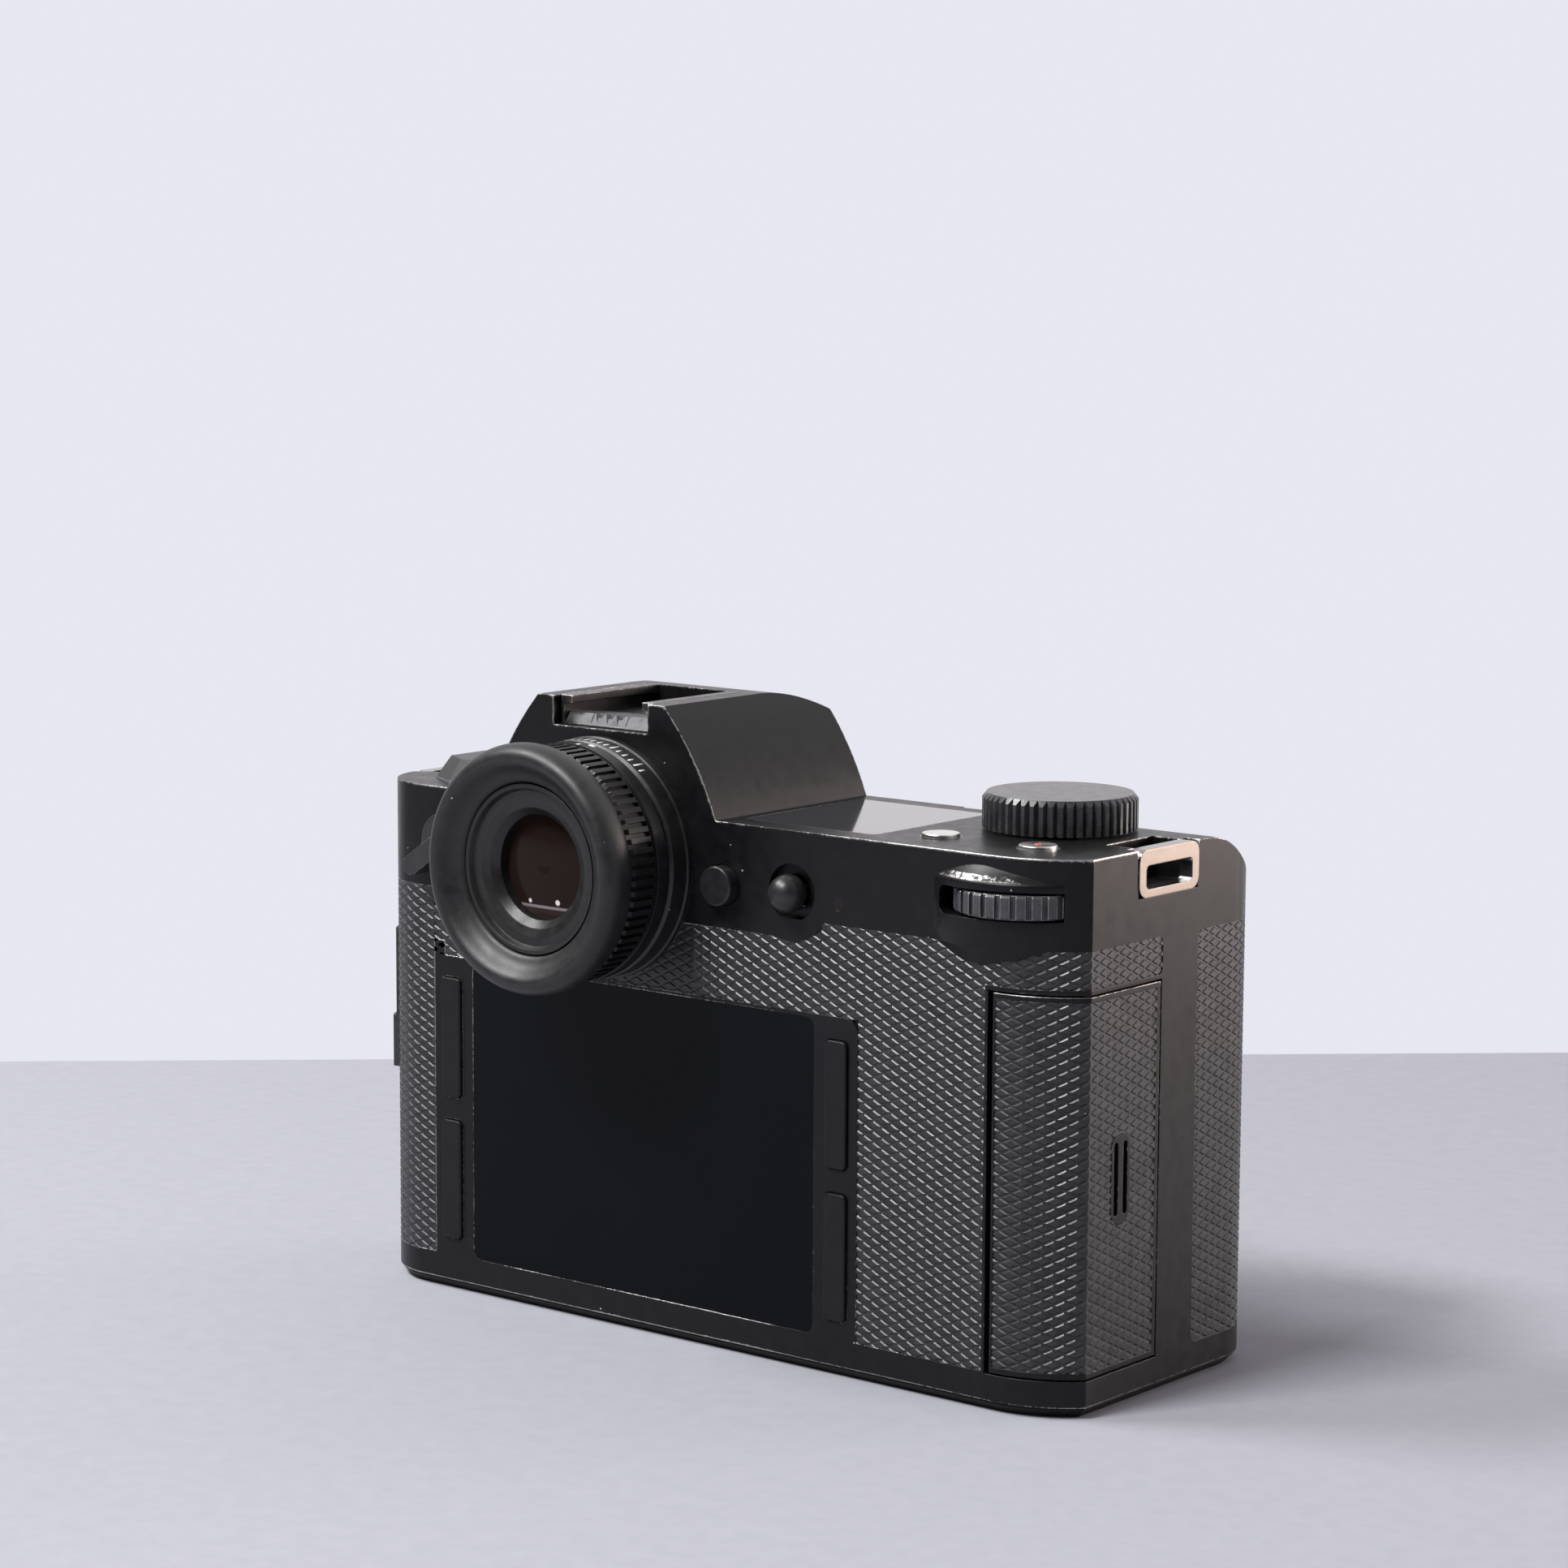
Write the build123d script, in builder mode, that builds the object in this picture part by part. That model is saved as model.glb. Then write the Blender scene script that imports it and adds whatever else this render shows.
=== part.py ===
"""Mirrorless camera, bare body with an open lens mount.

Millimetres. +X is the photographer's right, +Y points out of the lens mount, +Z is up.
The origin is the mouth of the tripod socket, straight below the optical axis.
"""

import os
from math import asin, atan2, cos, degrees, hypot, radians, sin, tan

from build123d import *

# Body casing
body_left = 53.1
body_right = 93.6
body_back = 19.5
body_front = 19.5
end_radius = 12.0
rear_corner_radius = 19.0
rear_corner_reach = 14.0
wall = 2.6
roof = 2.2
base_height = 1.8
base_bevel = 1.4
base_plate_top = 3.2
band_height = 72.5
plate_height = 14.0
shoulder_height = band_height + plate_height

# Grip
grip_front = 35.7
grip_left = 58.0
grip_root = 47.0
grip_corner_radius = 10.0
grip_left_radius = 7.0
grip_root_radius = 5.0
grip_slope = 38.0
grip_brow_radius = 14.0
grip_brow_start = 17.5
grip_seam_setback = 3.4
end_seam_margin = 1.9

# Viewfinder hump, whose height follows the eyepiece
eye_drop = 8.3
eye_height = shoulder_height - eye_drop
barrel_radius = 13.8
shoe_rise = 7.2
shoe_recess = 4.8
shoe_floor = eye_height + barrel_radius + shoe_rise
hump_top = shoe_floor + shoe_recess
hump_half_top = 13.6
hump_half_middle = 20.4
hump_half_foot = 24.5
hump_middle_height = (shoulder_height + hump_top) / 2 - 0.25
hump_flat_front = 5.0
hump_nose_drop = 3.6

# Accessory shoe
shoe_recess_half_width = 10.25
shoe_side_gap = 0.35
shoe_half_width = shoe_recess_half_width - shoe_side_gap
shoe_plate_thickness = 1.4
shoe_lip_thickness = 1.25
shoe_half_gap = 7.7
shoe_foot_half_width = 9.35
shoe_length = 23.5
shoe_plate_setback = 1.65
shoe_plate_bevel = 1.2

# Lens mount
mount_drop = 30.7
axis_height = band_height - mount_drop
boss_radius = 33.5
boss_height = 1.2
flange_height = 2.5
flange_radius = 30.6
throat_radius = 25.8
claw_recess_radius = 27.3
mount_bore_radius = 28.2
spigot_length = 2.0
flange_to_sensor = 20.0
baffle_length = 3.2
claw_count = 3
claw_angle = 66.0
screw_ring_radius = 29.25
screw_head_radius = 1.0
screw_head_depth = 0.7
screw_radius = 0.65
screw_length = 3.4

# Contacts in the throat
contact_count = 10
contact_pitch = 3.6
contact_radius = 0.5
contact_circle_radius = 23.6
contact_block_depth = 3.0
contact_web_step = 0.6

# Lens release
release_x = -37.5
release_z = 32.0
release_radius = 4.2
release_proud = 2.0
release_travel = 1.3
lock_pin_radius = 0.9
lock_pin_proud = 1.0

# Front function button and self-timer lamp
front_button_x = 36.0
front_button_z = 16.0
front_button_radius = 3.6
front_button_proud = 1.2
front_button_travel = 0.8
lamp_x = 40.0
lamp_z = band_height - 10.5
lamp_radius = 2.4

# Shutter and sensor
aperture_width = 38.0
aperture_height = 26.0
shutter_half_width = 31.0
shutter_half_height = 28.0
shutter_back = 5.0
shutter_front = 9.6
shutter_plate = 0.8
leaf_height = 13.6
leaf_thickness = 0.3
leaf_pitch = 0.7
leaf_half_width = 27.6
sensor_width = 40.0
sensor_height = 28.0
sensor_thickness = 2.1
sensor_glass = 0.6
sensor_plate_half_width = 26.0
sensor_plate_half_height = 19.0
sensor_plate_thickness = 2.0
post_radius = 1.5
board_back = -11.6
board_thickness = 1.6
board_left = -42.0
board_right = 52.0
chip_width = 9.0
chip_height = 11.0
chip_thickness = 1.2
board_bottom = 8.0
board_top = band_height - 10.5

# Eyepiece
barrel_end = 17.3
barrel_inner_end = 13.4
collar_foot_radius = 19.9
collar_foot_depth = 1.2
collar_radius = 19.6
collar_end = 4.9
dioptre_start = 5.2
dioptre_end = 13.8
dioptre_radius = 19.5
dioptre_knurl_start = 8.6
dioptre_knurl_count = 72
dioptre_groove_width = 0.8
dioptre_groove_depth = 0.6
eyecup_start = 14.2
eyecup_end = 20.6
eyecup_radius = 20.8
eye_lens_radius = 8.6
eye_lens_front = 13.5
eye_lens_thickness = 1.6
eye_lens_dome = 60.0
finder_width = 20.0
finder_height = 14.0
finder_depth = 3.0

# Screen and its keys
screen_left = -28.7
screen_bottom = 6.25
screen_width = 73.7
screen_height = 51.0
screen_x = screen_left + screen_width / 2
screen_z = screen_bottom + screen_height / 2
screen_radius = 1.6
screen_thickness = 1.2
screen_panel_margin = 3.0
screen_panel_depth = 2.4
key_width = 4.3
key_height = 20.5
key_left_gap = 2.65
key_right_gap = 2.45
key_bottom_gap = 2.9
key_spacing = 4.0
key_left_x = screen_left - key_left_gap - key_width / 2
key_right_x = screen_left + screen_width + key_right_gap + key_width / 2
key_lower_z = screen_bottom + key_bottom_gap + key_height / 2
key_upper_z = key_lower_z + key_height + key_spacing
panel_margin = 2.0
panel_left = key_left_x - key_width / 2 - panel_margin
panel_right = key_right_x + key_width / 2 + panel_margin
panel_top = screen_bottom + screen_height + 0.65
panel_radius = 2.5
key_radius = 0.9
key_proud = 0.6
key_travel = 0.5

# Controls on the back
view_button_x = 26.3
view_button_z = shoulder_height - 10.1
view_button_radius = 3.2
view_button_proud = 2.3
view_button_travel = 0.6
joystick_x = 40.2
joystick_z = shoulder_height - 9.9
joystick_ball_radius = 3.05
joystick_ball_centre = 1.0
joystick_dish_radius = 4.6
joystick_dish_depth = 1.5
joystick_notch_radius = 7.8
joystick_pivot = -14.0
joystick_press = 0.3
gimbal_half = 4.2
gimbal_wall = 1.4
gimbal_pin_radius = 0.6
status_lamp_x = 49.65
status_lamp_z = shoulder_height - 10.7
status_lamp_radius = 1.05
switch_x = -32.9
switch_z = shoulder_height - 8.9
switch_radius = 5.0
switch_thickness = 2.8
switch_tab_reach = 7.6
switch_tab_angle = 215.0
switch_post_radius = 1.5

# Thumb wheel and thumb rest
wheel_x = 79.9
wheel_y = -11.7
wheel_radius = 11.0
wheel_bottom = band_height + 4.8
wheel_thickness = 3.7
wheel_rib_count = 28
wheel_groove_width = 0.95
wheel_groove_depth = 0.6
wheel_slot_half_width = 10.0
wheel_slot_margin = 0.35
axle_radius = 1.5
axle_shelf_bottom = band_height + 0.7
axle_bottom = axle_shelf_bottom + 0.4
thumb_rest_x = wheel_x - 2.7
thumb_rest_radius = 15.5
thumb_rest_proud = 2.4
thumb_rest_bottom = band_height - 3.1
thumb_rest_top = shoulder_height - 1.6
thumb_rest_root = 0.4
thumb_rest_wrap = 4.5

# Top controls
window_left = 26.4
window_right = 52.8
window_back = -14.5
window_front = 15.5
window_radius = 1.2
window_thickness = 1.2
top_button_left_x = 61.6
top_button_right_x = 80.2
top_button_y = -9.0
top_button_radius = 3.0
top_button_proud = 0.6
top_button_travel = 0.5
dial_x = 71.1
dial_y = 9.5
dial_radius = 12.3
dial_gap = 0.4
dial_height = 5.6
dial_bevel = 0.9
dial_tooth_count = 50
dial_tooth_depth = 0.75
dial_groove_share = 0.72
dial_shaft_radius = 3.0
dial_shaft_bottom = shoulder_height - 8.0
shutter_button_x = 76.0
shutter_button_y = 30.4
shutter_button_radius = 4.2
shutter_button_proud = 1.2
shutter_button_travel = 1.0

# Strap lugs
lug_width = 16.2
lug_bottom = shoulder_height - 7.5
lug_thickness = 2.4
lug_proud = 0.2
lug_slot_length = 12.6
lug_slot_height = 3.7
lug_slot_z = shoulder_height - 4.35
lug_radius = 2.0
lug_right_y = 6.8
lug_left_y = 0.0
lug_pocket_depth = 5.2
lug_pocket_wall = 1.4

# Antenna cover on the left shoulder
antenna_left = -44.8
antenna_back = -15.1
antenna_front = 12.5
antenna_corner = 6.3
antenna_height = 3.9
antenna_draft = 32.0

# Battery and its bay
battery_x = 74.2
battery_y = 21.5
battery_width = 30.6
battery_depth = 18.4
battery_height = band_height - 12.5
battery_radius = 4.7
battery_foot_height = 3.0
battery_foot_lip = 0.6
battery_gap = 0.3
bay_wall = 1.0
battery_recess = 0.1
lever_x = 46.0
lever_y = 2.0
lever_radius = 4.5
lever_thickness = 1.3
lever_reach = 10.5
lever_post_radius = 1.5

# Card door and reader
door_left = 79.3
door_front = 5.1
door_bottom = 6.3
door_top = band_height - 7.0
door_thickness = 1.6
door_margin = 0.9
door_ledge = 3.0
door_left_gap = 0.55
door_gap = 0.35
hinge_inset_x = 1.2
hinge_inset_y = 1.5
hinge_pin_radius = 0.5
knuckle_radius = 1.1
link_arm_height = 3.0
link_arm_thickness = 1.2
link_arm_shift = 0.8
link_arm_inner_end = -8.0
link_arm_low = 14.0
link_arm_high = door_top - 11.5
catch_y = -4.9
catch_z = 36.25
catch_width = 4.9
catch_height = 14.5
reader_left = 70.0
reader_right = 88.0
reader_back = -13.0
reader_front = 3.0
reader_top = door_top - 5.5
card_slot_height = 24.4
card_slot_width = 2.4
card_slot_depth = 14.0

# Ports on the left end
port_top = band_height - 12.2
port_height = 24.3
port_bottom = port_top - port_height
port_back = -15.9
port_front = 7.5
port_cover_proud = 0.5
port_cover_depth = 1.0
port_tab_height = 9.0
port_tab_proud = 1.1
port_gap = 0.2
port_swing_gap = 0.5
port_block_depth = 9.0
port_block_back = -8.0
port_block_front = 6.0
port_block_bottom = port_bottom + 2.5
port_block_top = port_top - 2.3
video_socket_height = 14.2
video_socket_width = 4.9
data_socket_height = 9.0
data_socket_width = 3.2
socket_depth = 7.5

# Tripod socket: quarter-inch thread, 20 turns to the inch
tripod_bore_radius = 2.55
tripod_socket_radius = 6.5
tripod_socket_flange_radius = 9.0
tripod_socket_flange = 1.2
tripod_socket_height = 8.5
tripod_bore_depth = 6.5

# Leatherette skins
skin = 0.5
leather_bottom = 6.2
leather_left_top = band_height - 3.25
leather_grip_top = band_height - 0.3
leather_grip_side = 15.3
leather_side_front = 5.6
leather_door_gap = 1.1
leather_grip_corner = 1.5
leather_back_corner = 1.0

# Clearances
slide_gap = 0.15
turn_gap = 0.06
flange_gap = 0.15
button_flange = 0.9
button_flange_thickness = 1.2

flange_y = body_front + flange_height
boss_y = body_front + boss_height
sensor_y = flange_y - flange_to_sensor
inner_front = body_front - wall
inner_back = wall - body_back
eye_axis = Axis((0, 0, eye_height), (0, 1, 0))
hinge_x = door_left + hinge_inset_x
hinge_y = hinge_inset_y - body_back
knuckle_bottom = door_bottom + door_ledge + door_gap
knuckle_top = door_top - door_ledge - door_gap

os.makedirs("parts", exist_ok=True)


def save(piece, name):
    """Label a finished piece and write it as its own STEP file."""
    piece.label = name
    export_step(piece, f"parts/{name}.step")


def upright(depth):
    """Plane across the camera at one depth: sketches read X and Z, and extrude backwards."""
    return Plane.XZ.offset(-depth)


def plan_outline(height, inset=0.0):
    """Plan of the camera body with its grip, at one height, drawn in by inset."""
    corners = [
        (body_right, grip_front),
        (grip_left, grip_front),
        (grip_root, body_front),
        (-body_left, body_front),
        (-body_left, -body_back),
    ]
    radii = [grip_corner_radius, grip_left_radius, grip_root_radius, end_radius, end_radius]
    with BuildSketch(Plane.XY.offset(height)) as outline:
        with BuildLine():
            corner = JernArc(
                start=(body_right - rear_corner_reach, -body_back),
                tangent=(1, 0),
                radius=rear_corner_radius,
                arc_size=degrees(asin(rear_corner_reach / rear_corner_radius)),
            )
            FilletPolyline(corner @ 1, *corners, corner @ 0, radius=radii)
        make_face()
        if inset:
            offset(amount=-inset)
    return outline.sketch


def wall_strip(low, high, outer, inner, plan_box):
    """Strip that follows the casing's outline between two insets, inside a box in plan."""
    (x_low, y_low), (x_high, y_high) = plan_box
    with BuildPart() as strip:
        extrude(plan_outline(low, outer), amount=high - low)
        extrude(plan_outline(low, inner), amount=high - low, mode=Mode.SUBTRACT)
        with BuildSketch(Plane.XY.offset(low)):
            with Locations(((x_low + x_high) / 2, (y_low + y_high) / 2)):
                Rectangle(x_high - x_low, y_high - y_low)
        extrude(amount=high - low, mode=Mode.INTERSECT)
    return strip.part


def round_bar(x, z, radius, y_from, y_to):
    """Round bar or hole along Y."""
    with BuildPart() as bar:
        with BuildSketch(upright(y_to)):
            with Locations((x, z)):
                Circle(radius)
        extrude(amount=y_to - y_from)
    return bar.part


def pressed_button(x, z, radius, y_face, y_wall, y_end):
    """Round button in a wall: cap, and a flange behind the wall that holds it in."""
    outward = 1 if y_face > y_wall else -1
    flange_from = y_wall - outward * flange_gap
    flange_to = flange_from - outward * button_flange_thickness
    with BuildPart() as button:
        add(round_bar(x, z, radius, min(y_face, y_end), max(y_face, y_end)))
        add(round_bar(x, z, radius + button_flange, min(flange_from, flange_to),
                      max(flange_from, flange_to)))
        face = button.faces().sort_by(Axis.Y)[-1 if outward > 0 else 0]
        fillet(face.edges(), 0.35)
    return button.part


# Solids that several pieces share


def hump_block(inset, top):
    """Viewfinder hump: the front-view outline cut by the side-view outline."""
    foot = shoulder_height - wall - 0.4
    with BuildPart() as block:
        with BuildSketch(upright(-body_back + inset)):
            with BuildLine():
                crest = Line((-hump_half_top + inset, top), (hump_half_top - inset, top))
                flank = ThreePointArc(
                    crest @ 1,
                    (hump_half_middle - inset, hump_middle_height - inset),
                    (hump_half_foot - inset, shoulder_height),
                )
                sill = Polyline(
                    flank @ 1,
                    (hump_half_foot - inset, foot),
                    (-hump_half_foot + inset, foot),
                    (-hump_half_foot + inset, shoulder_height),
                )
                ThreePointArc(
                    sill @ 1,
                    (-hump_half_middle + inset, hump_middle_height - inset),
                    crest @ 0,
                )
            make_face()
        extrude(amount=-(body_back + body_front - 2 * inset))
        with BuildSketch(Plane.YZ.offset(-hump_half_foot)):
            with BuildLine():
                flat = Line((-body_back, top), (hump_flat_front, top))
                nose = TangentArc(
                    flat @ 1,
                    (body_front - inset, top - (hump_nose_drop)),
                    tangent=flat % 1,
                )
                Polyline(nose @ 1, (body_front - inset, foot), (-body_back, foot), flat @ 0)
            make_face()
        extrude(amount=2 * hump_half_foot, mode=Mode.INTERSECT)
    return block.part


def brow_cut(drop):
    """Everything above the grip's sloping top, lowered by drop."""
    level = shoulder_height - drop
    with BuildPart() as cut:
        with BuildSketch(Plane.YZ.offset(grip_root - 2)):
            with BuildLine():
                brow = JernArc(
                    start=(grip_brow_start, level),
                    tangent=(1, 0),
                    radius=grip_brow_radius,
                    arc_size=-grip_slope,
                )
                reach = grip_front + 2 - (brow @ 1).X
                slope = Line(
                    brow @ 1, brow @ 1 + Vector(reach, -reach * tan(radians(grip_slope)))
                )
                Polyline(
                    slope @ 1,
                    (grip_front + 2, hump_top),
                    (grip_brow_start, hump_top),
                    brow @ 0,
                )
            make_face()
        extrude(amount=body_right - grip_root + 4)
    return cut.part


with BuildPart() as mount_boss:
    with BuildSketch(upright(boss_y)):
        with Locations((0, axis_height)):
            Circle(boss_radius)
    extrude(amount=boss_height + wall / 2)

# Thumb rest: a bulge turned about an upright axis inside the camera, so it dies away at both ends
thumb_axis_y = thumb_rest_radius - body_back
thumb_rest_low = thumb_rest_bottom - 0.4
thumb_rest_high = thumb_rest_top + 0.4
with BuildPart() as thumb_rest:
    with BuildSketch(Plane((thumb_rest_x, thumb_axis_y, 0), x_dir=(1, 0, 0), z_dir=(0, -1, 0))):
        with BuildLine():
            Polyline(
                (thumb_rest_radius - 2 * wall, thumb_rest_low),
                (thumb_rest_radius - thumb_rest_root, thumb_rest_low),
                (thumb_rest_radius + 0.8 * thumb_rest_proud, band_height),
                (thumb_rest_radius + thumb_rest_proud, band_height + 2.5),
                (thumb_rest_radius + thumb_rest_proud, thumb_rest_top - 2.4),
                (thumb_rest_radius + 0.5 * thumb_rest_proud, thumb_rest_top - 1.4),
                (thumb_rest_radius - thumb_rest_root, thumb_rest_high),
                (thumb_rest_radius - 2 * wall, thumb_rest_high),
                close=True,
            )
        make_face()
    revolve(axis=Axis((thumb_rest_x, thumb_axis_y, 0), (0, 0, 1)))
    with BuildSketch(Plane.XY.offset(thumb_rest_low)):
        with Locations((thumb_rest_x, -body_back - thumb_rest_proud)):
            Rectangle(2 * (thumb_rest_radius + thumb_rest_proud), thumb_rest_proud + thumb_rest_wrap,
                      align=(Align.CENTER, Align.MIN))
    extrude(amount=thumb_rest_high - thumb_rest_low, mode=Mode.INTERSECT)
    extrude(plan_outline(thumb_rest_low, wall), amount=thumb_rest_high - thumb_rest_low,
            mode=Mode.SUBTRACT)

# Card door: wraps round the rear right corner, turns on a pin along its rear edge
door_box = ((door_left, -body_back - 2), (body_right + 1, door_front))
with BuildPart() as card_door:
    add(wall_strip(door_bottom, door_top, 0, door_thickness, door_box))
    fillet(
        card_door.edges().filter_by(Axis.Z).sort_by_distance((door_left, -body_back, 0))[0], 0.8
    )
    with BuildSketch(Plane.XY.offset(knuckle_bottom)):
        with Locations((hinge_x, hinge_y)):
            Circle(knuckle_radius)
    extrude(amount=knuckle_top - knuckle_bottom)
    for arm_z in (link_arm_low, link_arm_high):
        with BuildSketch(Plane.XY.offset(arm_z - link_arm_height / 2 - slide_gap)):
            with Locations((hinge_x, hinge_y + knuckle_radius)):
                Rectangle(3 * knuckle_radius, 2 * knuckle_radius + 2 * turn_gap)
            with Locations((hinge_x + link_arm_shift, hinge_y + knuckle_radius)):
                Rectangle(link_arm_thickness + 2 * slide_gap,
                          2 * (knuckle_radius + hinge_pin_radius + turn_gap))
        extrude(amount=link_arm_height + 2 * slide_gap, mode=Mode.SUBTRACT)
    with BuildSketch(Plane.XY.offset(knuckle_bottom)):
        with Locations((hinge_x, hinge_y)):
            Circle(hinge_pin_radius + turn_gap)
    extrude(amount=knuckle_top - knuckle_bottom, mode=Mode.SUBTRACT)

# Door skin, with the finger catch left bare
door_skin_box = (
    (door_left + door_margin, -body_back - 2),
    (body_right + 1, door_front - door_margin),
)
with BuildPart() as door_leather:
    add(wall_strip(door_bottom + door_margin, door_top - door_margin, 0, skin, door_skin_box))
    with BuildSketch(Plane.YZ.offset(body_right + 1)):
        with Locations((catch_y, catch_z)):
            SlotOverall(catch_height, catch_width, rotation=90)
    extrude(amount=-2, mode=Mode.SUBTRACT)
save(door_leather.part, "door_leather")

with BuildPart() as door_finish:
    add(card_door.part)
    add(door_leather.part, mode=Mode.SUBTRACT)
    with BuildSketch(Plane.YZ.offset(body_right)):
        for side in (-1, 1):
            with Locations((catch_y + side * catch_width / 4, catch_z)):
                SlotOverall(catch_height - 3, 1.1, rotation=90)
    extrude(amount=-0.8, mode=Mode.SUBTRACT)
save(door_finish.part, "card_door")

# Hinge link: the door's pin on two arms that slide in the card reader
with BuildPart() as door_hinge_link:
    with BuildSketch(Plane.XY.offset(knuckle_bottom + door_gap)):
        with Locations((hinge_x, hinge_y)):
            Circle(hinge_pin_radius)
    extrude(amount=knuckle_top - knuckle_bottom - 2 * door_gap)
    for arm_z in (link_arm_low, link_arm_high):
        with BuildSketch(Plane.XY.offset(arm_z - link_arm_height / 2)):
            with Locations((hinge_x + link_arm_shift, link_arm_inner_end)):
                Rectangle(link_arm_thickness, link_arm_inner_end - hinge_y + 0.3,
                          align=(Align.CENTER, Align.MAX))
        extrude(amount=link_arm_height)
save(door_hinge_link.part, "door_hinge_link")

# Port cover: rubber flap that follows the rounded left end, thicker at its pull tab
port_plan = ((-body_left - 3, port_back + port_swing_gap), (-body_left + end_radius, port_front))
with BuildPart() as port_cover:
    add(wall_strip(port_bottom, port_top, -port_cover_proud, port_cover_depth, port_plan))
    add(wall_strip(port_bottom, port_bottom + port_tab_height, -port_tab_proud, 0,
                   ((-body_left - 3, port_back + port_swing_gap),
                    (-body_left + end_radius, port_back + 10))))
save(port_cover.part, "port_cover")

# Leatherette skins on the body
with BuildPart() as leather_back:
    add(wall_strip(leather_bottom, band_height, 0, skin,
                   ((panel_left, -body_back - 2), (door_left - leather_door_gap, -body_back + 2))))
    add(wall_strip(door_top + leather_door_gap, band_height, 0, skin,
                   ((door_left - leather_door_gap - 1, -body_back - 2),
                    (body_right + 1, leather_side_front))))
    with BuildSketch(upright(-body_back + 1)):
        with Locations(((panel_left + panel_right) / 2, (panel_top - wall) / 2)):
            RectangleRounded(panel_right - panel_left, panel_top + wall, panel_radius)
        with Locations(((panel_left + joystick_x) / 2, (leather_left_top + shoulder_height) / 2)):
            Rectangle(joystick_x - panel_left, shoulder_height - leather_left_top)
        with Locations((joystick_x, joystick_z)):
            Circle(joystick_notch_radius)
        with Locations((0, eye_height)):
            Circle(collar_foot_radius)
        with Locations((panel_left, panel_top)):
            Rectangle(2 * panel_radius, 2 * panel_radius)
    extrude(amount=2, mode=Mode.SUBTRACT)
    add(thumb_rest.part, mode=Mode.SUBTRACT)
    for corner_z in (band_height, door_top + leather_door_gap):
        fillet(leather_back.edges().filter_by(Axis.X)
               .sort_by_distance((body_right, leather_side_front, corner_z))[0],
               leather_back_corner)
save(leather_back.part, "leather_back")

front_bare_rings = [
    (release_x, release_z, release_radius + 1.4),
    (front_button_x, front_button_z, front_button_radius + 1.4),
    (lamp_x, lamp_z, lamp_radius + 0.6),
    (0, axis_height, boss_radius + 0.4),
]


def front_skin(low, high, plan_box):
    """Front skin with bare rings round the mount and the controls."""
    with BuildPart() as sheet:
        add(wall_strip(low, high, 0, skin, plan_box))
        with BuildSketch(upright(body_front + 1)):
            for x, z, radius in front_bare_rings:
                with Locations((x, z)):
                    Circle(radius)
        extrude(amount=2, mode=Mode.SUBTRACT)
    return sheet.part


with BuildPart() as leather_left:
    add(front_skin(leather_bottom, leather_left_top,
                   ((-body_left - 1, -body_back - 1), (0, body_front + 1))))
    with BuildSketch(Plane.XY):
        with Locations(((panel_left + 1) / 2, -body_back)):
            Rectangle(1 - panel_left, body_back)
    extrude(amount=band_height, mode=Mode.SUBTRACT)
    add(wall_strip(port_bottom - port_gap, port_top + port_gap, -1, 2,
                   ((-body_left - 3, port_back - port_gap),
                    (-body_left + end_radius, port_front + port_gap))),
        mode=Mode.SUBTRACT)

with BuildPart() as leather_grip:
    add(front_skin(leather_bottom, leather_grip_top,
                   ((0, leather_grip_side), (body_right + 1, grip_front + 1))))
    for corner_z in (leather_bottom, leather_grip_top):
        fillet(leather_grip.edges().filter_by(Axis.X)
               .sort_by_distance((body_right, leather_grip_side, corner_z))[0],
               leather_grip_corner)

with BuildPart() as leather_front:
    add(leather_left.part)
    add(leather_grip.part)
save(leather_front.part, "leather_front")

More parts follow.
